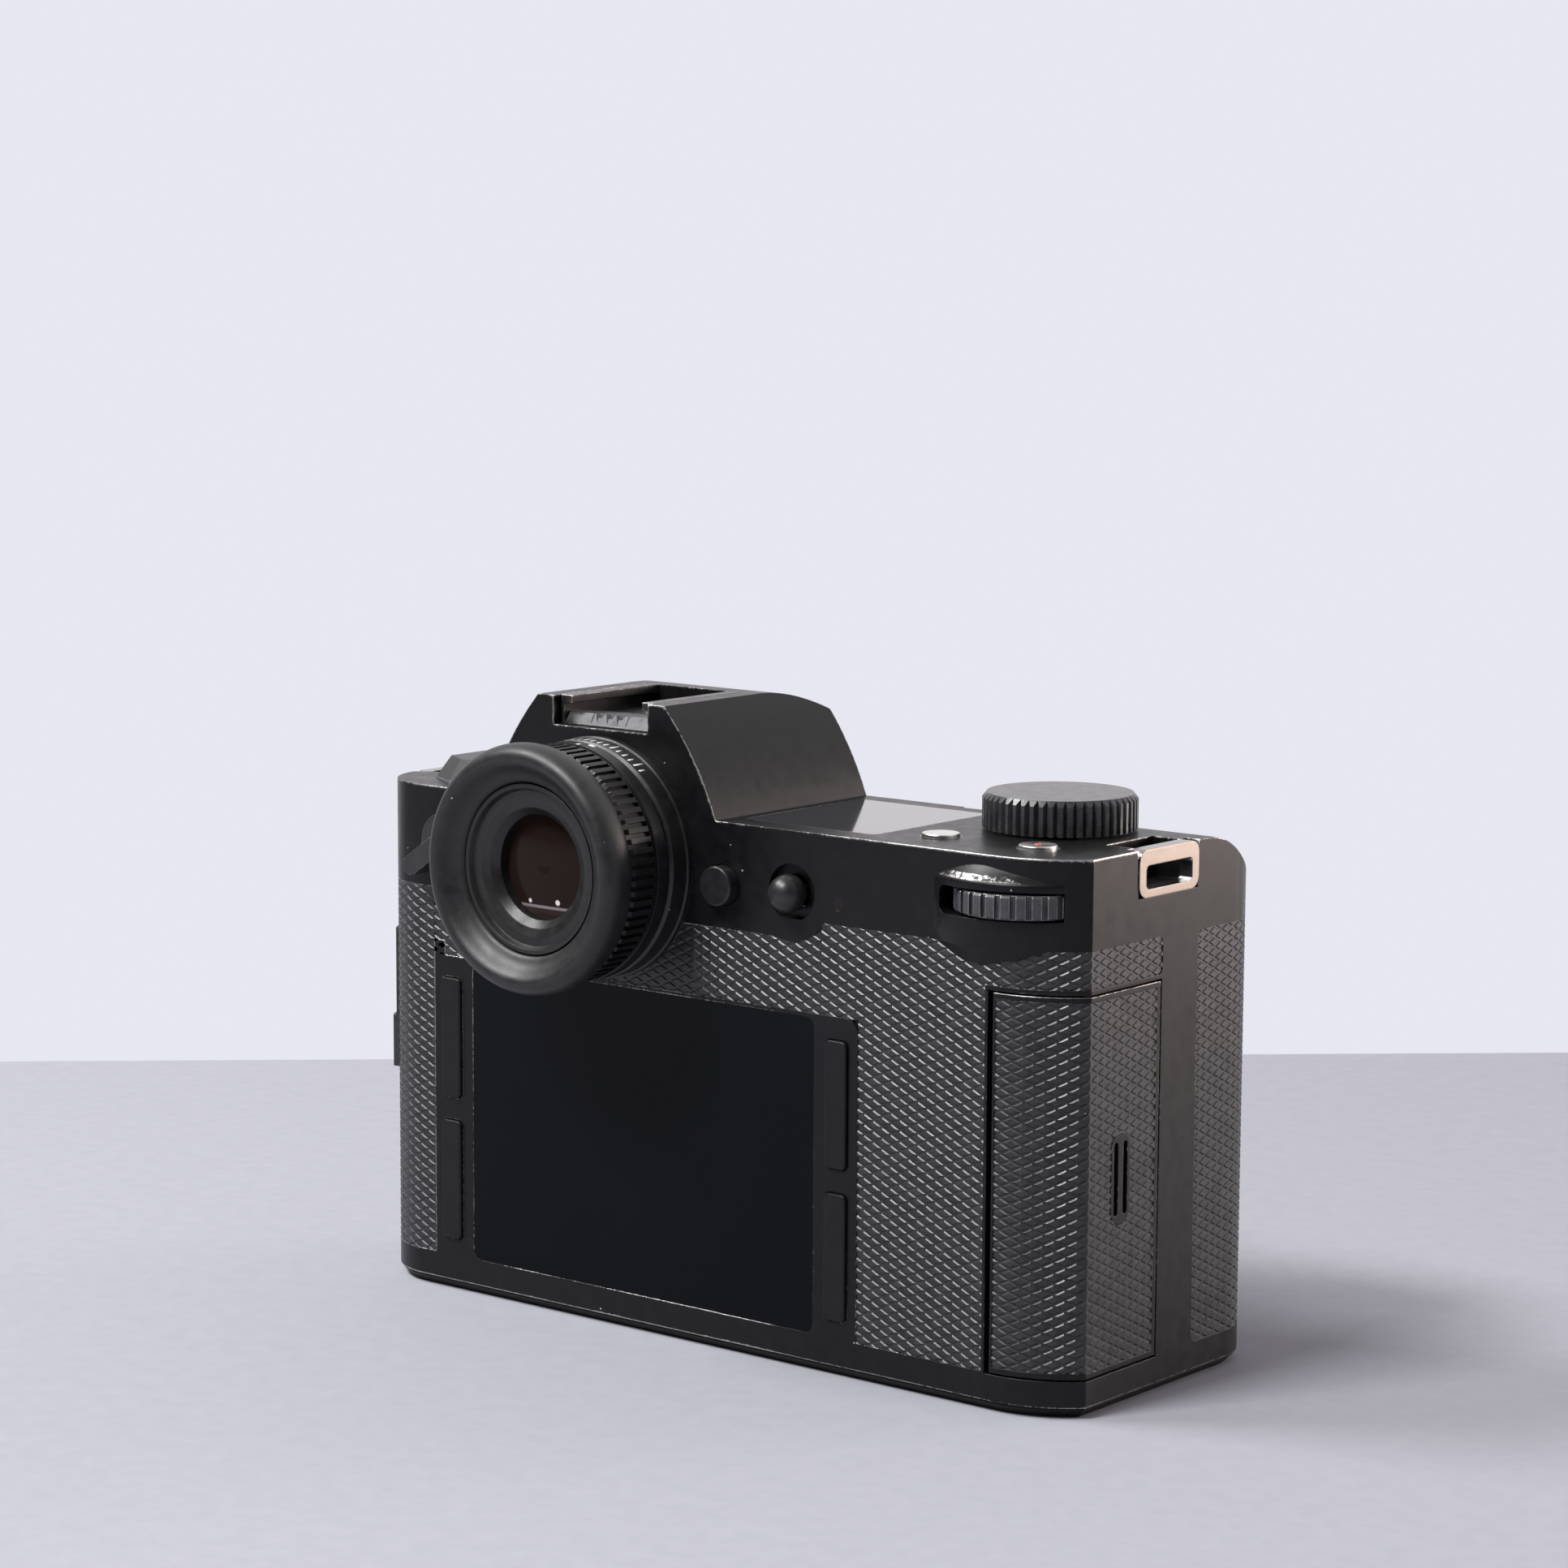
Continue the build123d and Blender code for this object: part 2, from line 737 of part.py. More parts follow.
# Body shell
shell_height = band_height - base_height
with BuildPart() as body_shell:
    extrude(plan_outline(base_height), amount=shell_height)
    add(mount_boss.part)
    add(thumb_rest.part)
    split(bisect_by=Plane.XY.offset(band_height), keep=Keep.BOTTOM)
    extrude(plan_outline(base_height, wall), amount=shell_height, mode=Mode.SUBTRACT)
    for sheet in (leather_back.part, leather_front.part):
        add(sheet, mode=Mode.SUBTRACT)

    # Screen pocket and window, and the eyepiece hole
    with BuildSketch(upright(-body_back)):
        with Locations((screen_x, screen_z)):
            RectangleRounded(screen_width, screen_height, screen_radius)
    extrude(amount=-screen_thickness, mode=Mode.SUBTRACT)
    with BuildSketch(upright(-body_back)):
        with Locations((screen_x, screen_z)):
            Rectangle(screen_width - 2 * screen_panel_margin, screen_height - 2 * screen_panel_margin)
        with Locations((0, eye_height)):
            Circle(barrel_radius)
        for key_x in (key_left_x, key_right_x):
            for key_z in (key_lower_z, key_upper_z):
                with Locations((key_x, key_z)):
                    RectangleRounded(key_width + 2 * slide_gap, key_height + 2 * slide_gap,
                                     key_radius + slide_gap)
    extrude(amount=-wall, mode=Mode.SUBTRACT)

    # Front holes
    with BuildSketch(upright(boss_y)):
        with Locations((0, axis_height)):
            Circle(mount_bore_radius)
            with PolarLocations(screw_ring_radius, 4, start_angle=45):
                Circle(screw_radius)
        with Locations((release_x, release_z)):
            Circle(release_radius + slide_gap)
        with Locations((front_button_x, front_button_z)):
            Circle(front_button_radius + slide_gap)
    extrude(amount=boss_height + wall, mode=Mode.SUBTRACT)
    add(round_bar(lamp_x, lamp_z, lamp_radius, inner_front + 0.6, body_front), mode=Mode.SUBTRACT)

    # Card door rebate and the opening behind it
    add(wall_strip(door_bottom - door_gap, door_top + door_gap, -1, door_thickness + 0.1,
                   ((door_left - door_left_gap, -body_back - 2),
                    (body_right + 2, door_front + door_gap))),
        mode=Mode.SUBTRACT)
    add(wall_strip(door_bottom + door_ledge, door_top - door_ledge, 1, wall + 1,
                   ((door_left - door_left_gap, -body_back - 2),
                    (body_right, door_front - door_ledge))),
        mode=Mode.SUBTRACT)
    add(wall_strip(door_bottom - door_gap, door_top + door_gap, 1, wall + 1,
                   ((door_left - door_left_gap, -body_back - 2),
                    (hinge_x + 2 * knuckle_radius, -body_back + 2 * wall))),
        mode=Mode.SUBTRACT)

    # Port recess and the opening behind it
    add(wall_strip(port_bottom - port_gap, port_top + port_gap, -1, port_cover_depth + 0.05,
                   ((-body_left - 3, port_back - port_gap),
                    (-body_left + end_radius, port_front + port_gap))),
        mode=Mode.SUBTRACT)
    with BuildSketch(Plane.YZ.offset(-body_left - 1)):
        with Locations(((port_block_back + port_block_front) / 2,
                        (port_block_bottom + port_block_top) / 2)):
            Rectangle(port_block_front - port_block_back, port_block_top - port_block_bottom)
    extrude(amount=wall + 2, mode=Mode.SUBTRACT)

# Bore for the lens lock pin, on the side of the release button
release_angle = degrees(atan2(release_z - axis_height, release_x))
pin_x = screw_ring_radius * cos(radians(release_angle))
pin_z = axis_height + screw_ring_radius * sin(radians(release_angle))
with BuildPart() as shell_bored:
    add(body_shell.part)
    add(round_bar(pin_x, pin_z, lock_pin_radius + turn_gap, inner_front - 1, boss_y + 1),
        mode=Mode.SUBTRACT)

# Grip and left end of the casing, whose seams with the shell lie under the leather
grip_seam = grip_root - grip_seam_setback
end_seam = release_x - release_radius - end_seam_margin
casing_ends = [
    ("grip_shell", grip_seam, body_right + 1, inner_front, grip_front + 1),
    ("end_shell", -body_left - 1, end_seam, -body_back - 1, body_front + 1),
]
with BuildPart() as shell_middle:
    add(shell_bored.part)
for name, x_low, x_high, y_low, y_high in casing_ends:
    with BuildPart() as end_room:
        with BuildSketch(Plane.XY.offset(base_height)):
            with Locations(((x_low + x_high) / 2, (y_low + y_high) / 2)):
                Rectangle(x_high - x_low, y_high - y_low)
        extrude(amount=shell_height)
    with BuildPart() as casing_end:
        add(shell_bored.part)
        add(end_room.part, mode=Mode.INTERSECT)
    save(casing_end.part, name)
    with shell_middle:
        add(end_room.part, mode=Mode.SUBTRACT)
save(shell_middle.part, "body_shell")

# Top plate
slope_angle = radians(grip_slope)
brow_end_y = grip_brow_start + grip_brow_radius * sin(slope_angle)
brow_end_z = shoulder_height - grip_brow_radius * (1 - cos(slope_angle))
shutter_button_z = brow_end_z - (shutter_button_y - brow_end_y) * tan(slope_angle)
shutter_plane = Plane(
    origin=(shutter_button_x, shutter_button_y, shutter_button_z),
    x_dir=(1, 0, 0),
    z_dir=(0, sin(slope_angle), cos(slope_angle)),
)
lugs = [(body_right, lug_right_y, 1), (-body_left, lug_left_y, -1)]

with BuildPart() as top_cavity:
    extrude(plan_outline(band_height, wall),
            amount=shoulder_height - roof - band_height)
    add(brow_cut(roof), mode=Mode.SUBTRACT)
    add(hump_block(wall, shoe_floor - roof))

with BuildPart() as top_plate:
    extrude(plan_outline(band_height), amount=shoulder_height - band_height)
    add(hump_block(0, hump_top))
    add(mount_boss.part)
    add(thumb_rest.part)
    split(bisect_by=Plane.XY.offset(band_height), keep=Keep.TOP)
    add(brow_cut(0), mode=Mode.SUBTRACT)
    add(top_cavity.part, mode=Mode.SUBTRACT)

    # Walls of the strap pockets, then the pockets and the seats of the lugs
    for end_x, lug_y, side in lugs:
        pocket_x = end_x - side * (lug_thickness - lug_proud + lug_pocket_depth / 2)
        with BuildSketch(Plane.XY.offset(lug_bottom - lug_pocket_wall)):
            with Locations((pocket_x - side * lug_pocket_wall / 2, lug_y)):
                Rectangle(lug_pocket_depth + lug_pocket_wall,
                          lug_slot_length + 2 * lug_pocket_wall)
        extrude(amount=shoulder_height - lug_bottom)
        with BuildSketch(Plane.XY.offset(lug_slot_z - lug_slot_height / 2)):
            with Locations((pocket_x, lug_y)):
                Rectangle(lug_pocket_depth, lug_slot_length)
        extrude(amount=shoulder_height, mode=Mode.SUBTRACT)
        with BuildSketch(Plane.YZ.offset(end_x - side * (lug_thickness - lug_proud))):
            with Locations((lug_y, (lug_bottom + shoulder_height) / 2)):
                lug_seat = Rectangle(lug_width, shoulder_height - lug_bottom)
            with Locations((lug_y, shoulder_height)):
                Rectangle(lug_width, 2 * lug_radius, align=(Align.CENTER, Align.MIN))
            fillet(lug_seat.vertices().group_by(Axis.Z)[0], lug_radius)
        extrude(amount=side * lug_thickness, mode=Mode.SUBTRACT)

    # Shelf under the thumb wheel, and lugs that carry the joystick's gimbal
    with BuildSketch(Plane.XY.offset(axle_shelf_bottom)):
        with Locations((wheel_x, (inner_back + wheel_y + 4) / 2)):
            Rectangle(10, wheel_y + 4 - inner_back)
    extrude(amount=wheel_bottom - 0.5 - axle_shelf_bottom)
    for side in (-1, 1):
        with BuildSketch(upright(inner_back)):
            with Locations((joystick_x + side * (gimbal_half + 1.5), joystick_z)):
                Rectangle(1.6, 4.4)
        extrude(amount=-(joystick_pivot - inner_back + 1.8))

    # Accessory shoe recess
    with BuildSketch(Plane.XY.offset(shoe_floor)):
        with Locations((0, -body_back + shoe_length / 2)):
            Rectangle(2 * shoe_recess_half_width, shoe_length)
    extrude(amount=hump_top - shoe_floor, mode=Mode.SUBTRACT)

    # Holes in the roof
    with BuildSketch(Plane.XY.offset(shoulder_height)):
        with Locations(((window_left + window_right) / 2, (window_back + window_front) / 2)):
            RectangleRounded(window_right - window_left, window_front - window_back, window_radius)
    extrude(amount=-window_thickness, mode=Mode.SUBTRACT)
    with BuildSketch(Plane.XY.offset(shoulder_height)):
        for button_x in (top_button_left_x, top_button_right_x):
            with Locations((button_x, top_button_y)):
                Circle(top_button_radius + slide_gap)
        with Locations((dial_x, dial_y)):
            Circle(dial_shaft_radius + turn_gap)
    extrude(amount=-roof, mode=Mode.SUBTRACT)
    with BuildSketch(shutter_plane):
        Circle(shutter_button_radius + slide_gap)
    extrude(amount=-4, mode=Mode.SUBTRACT)

    # Thumb wheel slot and the holes of its axle
    with BuildSketch(upright(-body_back - thumb_rest_proud - 1)):
        with Locations((wheel_x, wheel_bottom + wheel_thickness / 2)):
            RectangleRounded(2 * wheel_slot_half_width, wheel_thickness + 2 * wheel_slot_margin, 1.4)
    extrude(amount=-(thumb_rest_proud + wall + 1), mode=Mode.SUBTRACT)
    with BuildSketch(Plane.XY.offset(wheel_bottom - wheel_slot_margin)):
        with Locations((wheel_x, wheel_y)):
            Circle(wheel_radius + wheel_slot_margin)
    extrude(amount=wheel_thickness + 2 * wheel_slot_margin, mode=Mode.SUBTRACT)
    with BuildSketch(Plane.XY.offset(axle_shelf_bottom)):
        with Locations((wheel_x, wheel_y)):
            Circle(axle_radius + turn_gap)
    extrude(amount=wheel_bottom - axle_shelf_bottom, mode=Mode.SUBTRACT)

    # Holes in the back: eyepiece, button, joystick, lamp and power switch
    with BuildSketch(upright(-body_back)):
        with Locations((0, eye_height)):
            Circle(barrel_radius)
        with Locations((view_button_x, view_button_z)):
            Circle(view_button_radius + slide_gap)
        with Locations((joystick_x, joystick_z)):
            Circle(joystick_dish_radius - 1.8)
        with Locations((switch_x, switch_z)):
            Circle(switch_post_radius + turn_gap)
    extrude(amount=-wall, mode=Mode.SUBTRACT)
    add(round_bar(status_lamp_x, status_lamp_z, status_lamp_radius, -body_back, -body_back + 1.5),
        mode=Mode.SUBTRACT)
    with BuildSketch(upright(-body_back)):
        with Locations((joystick_x, joystick_z)):
            Circle(joystick_dish_radius)
    extrude(amount=-joystick_dish_depth, mode=Mode.SUBTRACT)
    with BuildSketch(Plane.YZ.offset(joystick_x - gimbal_half - 3)):
        with Locations((joystick_pivot, joystick_z)):
            Circle(gimbal_pin_radius + turn_gap)
    extrude(amount=2 * gimbal_half + 6, mode=Mode.SUBTRACT)

    # Bore of the mount, where the boss reaches above the seam
    with BuildSketch(upright(boss_y)):
        with Locations((0, axis_height)):
            Circle(mount_bore_radius)
    extrude(amount=boss_height + wall, mode=Mode.SUBTRACT)
save(top_plate.part, "top_plate")

# Base plate, with its rim bevelled inwards under the casing
with BuildPart() as base_plate:
    extrude(plan_outline(0, 0.3), amount=base_height)
    chamfer(base_plate.edges().group_by(Axis.Z)[0], base_bevel)
    extrude(plan_outline(base_height, wall + 0.02), amount=base_plate_top - base_height)
    foot_width = battery_width + 2 * (battery_foot_lip + battery_gap)
    foot_depth = battery_depth + 2 * (battery_foot_lip + battery_gap)
    with BuildSketch(Plane.XY):
        with Locations((battery_x, battery_y)):
            RectangleRounded(foot_width, foot_depth, battery_radius + battery_gap)
        Circle(tripod_socket_radius)
        with Locations((lever_x, lever_y)):
            Circle(lever_post_radius + turn_gap)
    extrude(amount=base_plate_top, mode=Mode.SUBTRACT)
    with BuildSketch(Plane.XY.offset(base_plate_top)):
        Circle(tripod_socket_flange_radius)
    extrude(amount=-tripod_socket_flange, mode=Mode.SUBTRACT)
    with BuildSketch(Plane.XY):
        with Locations((lever_x, lever_y)):
            Circle(lever_reach + 0.6)
        with Locations((lever_x - lever_reach, lever_y), (lever_x, lever_y - lever_reach)):
            Rectangle(2 * lever_reach, 2 * lever_reach, mode=Mode.SUBTRACT)
        with Locations((lever_x, lever_y)):
            Circle(lever_radius + 0.6)
    extrude(amount=lever_thickness + 0.5, mode=Mode.SUBTRACT)
save(base_plate.part, "base_plate")

with BuildPart() as tripod_socket:
    Cylinder(tripod_socket_radius, tripod_socket_height,
             align=(Align.CENTER, Align.CENTER, Align.MIN))
    with BuildSketch(Plane.XY.offset(base_plate_top)):
        Circle(tripod_socket_flange_radius)
    extrude(amount=-tripod_socket_flange)
    with BuildSketch(Plane.XY):
        Circle(tripod_bore_radius)
    extrude(amount=tripod_bore_depth, mode=Mode.SUBTRACT)
save(tripod_socket.part, "tripod_socket")

# Battery lever: round hub with an arm, flush in the base
with BuildPart() as battery_lever:
    with BuildSketch(Plane.XY.offset(0.2)):
        with Locations((lever_x, lever_y)):
            Circle(lever_radius)
        with Locations((lever_x + lever_reach / 2, lever_y + 1.5)):
            RectangleRounded(lever_reach, 3.0, 1.0)
    extrude(amount=lever_thickness)
    with BuildSketch(Plane.XY.offset(0.2 + lever_thickness)):
        with Locations((lever_x, lever_y)):
            Circle(lever_post_radius)
    extrude(amount=base_plate_top + 2 - lever_thickness)
save(battery_lever.part, "battery_lever")

# Battery, whose foot closes the base, and the bay around it
with BuildPart() as battery:
    with BuildSketch(Plane.XY.offset(battery_recess)):
        with Locations((battery_x, battery_y)):
            RectangleRounded(battery_width + 2 * battery_foot_lip,
                             battery_depth + 2 * battery_foot_lip, battery_radius)
    extrude(amount=battery_foot_height - battery_recess)
    chamfer(battery.edges().group_by(Axis.Z)[0], 0.4)
    with BuildSketch(Plane.XY.offset(battery_foot_height)):
        with Locations((battery_x, battery_y)):
            RectangleRounded(battery_width, battery_depth, battery_radius)
    extrude(amount=battery_height - battery_foot_height)
    fillet(battery.edges().group_by(Axis.Z)[-1], 0.8)
save(battery.part, "battery")

with BuildPart() as battery_bay:
    with BuildSketch(Plane.XY.offset(base_plate_top)):
        with Locations((battery_x, battery_y)):
            RectangleRounded(battery_width + 2 * (battery_gap + bay_wall),
                             battery_depth + 2 * (battery_gap + bay_wall),
                             battery_radius + battery_gap + bay_wall)
    extrude(amount=battery_height + battery_gap + bay_wall - base_plate_top)
    with BuildSketch(Plane.XY.offset(base_plate_top)):
        with Locations((battery_x, battery_y)):
            RectangleRounded(battery_width + 2 * battery_gap, battery_depth + 2 * battery_gap,
                             battery_radius + battery_gap)
    extrude(amount=battery_height + battery_gap - base_plate_top, mode=Mode.SUBTRACT)
save(battery_bay.part, "battery_bay")

# Card reader, with two card slots and guides for the door's link
with BuildPart() as card_reader:
    with BuildSketch(Plane.XY.offset(base_plate_top)):
        with Locations(((reader_left + reader_right) / 2, (reader_back + reader_front) / 2)):
            Rectangle(reader_right - reader_left, reader_front - reader_back)
    extrude(amount=reader_top - base_plate_top)
    with BuildSketch(Plane.YZ.offset(reader_right)):
        for slot_y in (reader_back + 5, reader_back + 11):
            with Locations((slot_y, (door_bottom + door_top) / 2)):
                Rectangle(card_slot_width, card_slot_height)
    extrude(amount=-card_slot_depth, mode=Mode.SUBTRACT)
    with BuildSketch(upright(reader_back)):
        for arm_z in (link_arm_low, link_arm_high):
            with Locations((hinge_x + link_arm_shift, arm_z)):
                Rectangle(link_arm_thickness + 2 * slide_gap, link_arm_height + 2 * slide_gap)
    extrude(amount=reader_back - link_arm_inner_end - 0.4, mode=Mode.SUBTRACT)
save(card_reader.part, "card_reader")

# Port block with a video socket and a data socket
port_block_face = -body_left + port_cover_depth + 0.4
with BuildPart() as port_block:
    with BuildSketch(Plane.YZ.offset(port_block_face)):
        with Locations(((port_block_back + port_block_front) / 2,
                        (port_block_bottom + port_block_top) / 2)):
            Rectangle(port_block_front - port_block_back, port_block_top - port_block_bottom)
    extrude(amount=port_block_depth)
    with BuildSketch(Plane.YZ.offset(port_block_face)):
        with Locations((port_block_back + 4, (port_block_bottom + port_block_top) / 2)):
            Rectangle(video_socket_width, video_socket_height)
        with Locations((port_block_front - 3.2, (port_block_bottom + port_block_top) / 2)):
            RectangleRounded(data_socket_width, data_socket_height, 1.5)
    extrude(amount=socket_depth, mode=Mode.SUBTRACT)
save(port_block.part, "port_block")

# Lens mount: flange with three claws, and a spigot that centres it in the casing
with BuildPart() as lens_mount_ring:
    with BuildSketch(upright(flange_y)):
        with Locations((0, axis_height)):
            Circle(flange_radius)
            Circle(throat_radius, mode=Mode.SUBTRACT)
            with PolarLocations(0, claw_count, start_angle=30):
                half = radians((360 / claw_count - claw_angle) / 2)
                with BuildLine():
                    spoke = Line((0, 0), (claw_recess_radius * cos(half),
                                          -claw_recess_radius * sin(half)))
                    rim = RadiusArc(spoke @ 1, (claw_recess_radius * cos(half),
                                                claw_recess_radius * sin(half)),
                                    -claw_recess_radius)
                    Line(rim @ 1, (0, 0))
                make_face(mode=Mode.SUBTRACT)
    extrude(amount=flange_y - boss_y)
    with BuildSketch(upright(boss_y)):
        with Locations((0, axis_height)):
            Circle(mount_bore_radius - 0.05)
            Circle(claw_recess_radius, mode=Mode.SUBTRACT)
    extrude(amount=spigot_length)
    with BuildSketch(upright(flange_y)):
        with Locations((0, axis_height)):
            with PolarLocations(screw_ring_radius, 4, start_angle=45):
                Circle(screw_head_radius)
    extrude(amount=screw_head_depth, mode=Mode.SUBTRACT)
    with BuildSketch(upright(flange_y)):
        with Locations((0, axis_height)):
            with PolarLocations(screw_ring_radius, 4, start_angle=45):
                Circle(screw_radius)
        with Locations((pin_x, pin_z)):
            Circle(lock_pin_radius + turn_gap)
    extrude(amount=flange_y - boss_y, mode=Mode.SUBTRACT)
save(lens_mount_ring.part, "lens_mount_ring")

with BuildPart() as mount_screws:
    with BuildSketch(upright(flange_y)):
        with Locations((0, axis_height)):
            with PolarLocations(screw_ring_radius, 4, start_angle=45):
                Circle(screw_head_radius)
    extrude(amount=screw_head_depth)
    with BuildSketch(upright(flange_y - screw_head_depth)):
        with Locations((0, axis_height)):
            with PolarLocations(screw_ring_radius, 4, start_angle=45):
                Circle(screw_radius)
    extrude(amount=screw_length)
save(mount_screws.part, "mount_screws")

# Baffle ring behind the flange, with the contact block at its foot
baffle_front = boss_y - spigot_length
baffle_back = baffle_front - baffle_length
block_front = baffle_back - 1.5
contact_span = radians((contact_count - 1) * contact_pitch / 2 + 3)
with BuildPart() as throat_baffle:
    with BuildSketch(upright(baffle_front)):
        with Locations((0, axis_height)):
            Circle(mount_bore_radius - 0.05)
            Circle(throat_radius, mode=Mode.SUBTRACT)
    extrude(amount=baffle_length)
    with BuildSketch(upright(baffle_back)) as block_web:
        with Locations((0, axis_height)):
            Circle(mount_bore_radius - 0.05)
            Circle(throat_radius + contact_web_step, mode=Mode.SUBTRACT)
        with Locations((0, axis_height - throat_radius)):
            Rectangle(2 * throat_radius * sin(contact_span), 6, mode=Mode.INTERSECT)
    extrude(amount=baffle_back - block_front + contact_block_depth)
    with BuildSketch(upright(block_front)) as block_face:
        with Locations((0, axis_height)):
            Circle(mount_bore_radius - 0.05)
            Circle(contact_circle_radius - 1.8, mode=Mode.SUBTRACT)
        with Locations((0, axis_height - throat_radius)):
            Rectangle(2 * throat_radius * sin(contact_span), 10, mode=Mode.INTERSECT)
    extrude(amount=contact_block_depth)
    contact_spots = [
        (
            contact_circle_radius * sin(radians((i - (contact_count - 1) / 2) * contact_pitch)),
            axis_height
            - contact_circle_radius * cos(radians((i - (contact_count - 1) / 2) * contact_pitch)),
        )
        for i in range(contact_count)
    ]
    with BuildSketch(upright(block_front)):
        with Locations(*contact_spots):
            Circle(contact_radius)
    extrude(amount=1.2, mode=Mode.SUBTRACT)
save(throat_baffle.part, "throat_baffle")

with BuildPart() as lens_contacts:
    with BuildSketch(upright(block_front + 0.4)):
        with Locations(*contact_spots):
            Circle(contact_radius)
    extrude(amount=1.6)
save(lens_contacts.part, "lens_contacts")

# Lens release button, and the lock pin whose arm it pushes
release_rear = inner_front - flange_gap - button_flange_thickness
release_button = pressed_button(
    release_x, release_z, release_radius, body_front + release_proud, inner_front, release_rear
)
save(release_button, "lens_release_button")

arm_front = release_rear - 0.1
with BuildPart() as lens_lock_pin:
    add(round_bar(pin_x, pin_z, lock_pin_radius, arm_front - 1.2, flange_y + lock_pin_proud))
    arm_length = hypot(pin_x - release_x, pin_z - release_z)
    with BuildSketch(upright(arm_front)):
        with Locations(((pin_x + release_x) / 2, (pin_z + release_z) / 2)):
            SlotOverall(arm_length + 4, 3.2, rotation=release_angle)
    extrude(amount=1.2)
save(lens_lock_pin.part, "lens_lock_pin")

front_button = pressed_button(
    front_button_x, front_button_z, front_button_radius, body_front + front_button_proud,
    inner_front, inner_front - flange_gap - button_flange_thickness,
)
save(front_button, "front_button")

save(round_bar(lamp_x, lamp_z, lamp_radius, inner_front + 0.6, body_front), "af_lamp")

# Shutter: a flat box with an opening, and two curtains of two leaves each
post_spots = [
    (sx * (shutter_half_width - 3), axis_height + sz * (shutter_half_height - 3))
    for sx in (-1, 1)
    for sz in (-1, 1)
]
sensor_post_spots = [
    (sx * (sensor_plate_half_width - 3), axis_height + sz * (sensor_plate_half_height - 3))
    for sx in (-1, 1)
    for sz in (-1, 1)
]
with BuildPart() as shutter_frame:
    with BuildSketch(upright(shutter_front)):
        with Locations((0, axis_height)):
            Rectangle(2 * shutter_half_width, 2 * shutter_half_height)
    extrude(amount=shutter_front - shutter_back)
    with BuildSketch(upright(shutter_front - shutter_plate)):
        with Locations((0, axis_height)):
            Rectangle(2 * (leaf_half_width + 0.4), 2 * (shutter_half_height - shutter_plate))
    extrude(amount=shutter_front - shutter_back - 2 * shutter_plate, mode=Mode.SUBTRACT)
    with BuildSketch(upright(shutter_front)):
        with Locations((0, axis_height)):
            Rectangle(aperture_width, aperture_height)
    extrude(amount=shutter_front - shutter_back, mode=Mode.SUBTRACT)
    with BuildSketch(upright(inner_front)):
        with Locations(*post_spots):
            Circle(post_radius)
    extrude(amount=inner_front - shutter_front)
save(shutter_frame.part, "shutter_frame")

leaf_names = [
    ("first_curtain_leaf_1", -1),
    ("first_curtain_leaf_2", -1),
    ("second_curtain_leaf_1", 1),
    ("second_curtain_leaf_2", 1),
]
parked_offset = aperture_height / 2 + 0.4 + leaf_height / 2
for index, (leaf_name, side) in enumerate(leaf_names):
    leaf_back = shutter_back + shutter_plate + 0.3 + index * leaf_pitch
    with BuildPart() as leaf:
        with BuildSketch(upright(leaf_back + leaf_thickness)):
            with Locations((0, axis_height + side * parked_offset)):
                Rectangle(2 * leaf_half_width, leaf_height)
        extrude(amount=leaf_thickness)
    save(leaf.part, leaf_name)

# Sensor on its plate, and the main board behind it
sensor_rear = sensor_y + sensor_glass - sensor_thickness
with BuildPart() as sensor_frame:
    with BuildSketch(upright(sensor_rear)):
        with Locations((0, axis_height)):
            Rectangle(2 * sensor_plate_half_width, 2 * sensor_plate_half_height)
    extrude(amount=sensor_plate_thickness)
    with BuildSketch(upright(shutter_back)):
        with Locations(*sensor_post_spots):
            Circle(post_radius)
    extrude(amount=shutter_back - board_back - board_thickness)
save(sensor_frame.part, "sensor_frame")

with BuildPart() as image_sensor:
    with BuildSketch(upright(sensor_y + sensor_glass)):
        with Locations((0, axis_height)):
            Rectangle(sensor_width, sensor_height)
    extrude(amount=sensor_thickness)
save(image_sensor.part, "image_sensor")

with BuildPart() as main_board:
    with BuildSketch(upright(board_back + board_thickness)):
        with Locations(((board_left + board_right) / 2, (board_bottom + board_top) / 2)):
            Rectangle(board_right - board_left, board_top - board_bottom)
    extrude(amount=board_thickness)
    chip_spots = [
        (x, z)
        for x in (board_left + chip_width, board_right - 1.5 * chip_width)
        for z in (board_bottom + 1.5 * chip_height, board_top - 1.5 * chip_height)
    ]
    with BuildSketch(upright(board_back + board_thickness + chip_thickness)):
        with Locations(*chip_spots):
            Rectangle(chip_width, chip_height)
    extrude(amount=chip_thickness)
save(main_board.part, "main_board")


def turned(*points):
    """Section of a piece turned about the eyepiece axis: radius, and distance behind the back."""
    with BuildSketch(Plane.XY.offset(eye_height)) as section:
        with BuildLine():
            Polyline(*[(radius, -body_back - behind) for radius, behind in points], close=True)
        make_face()
    return section.sketch


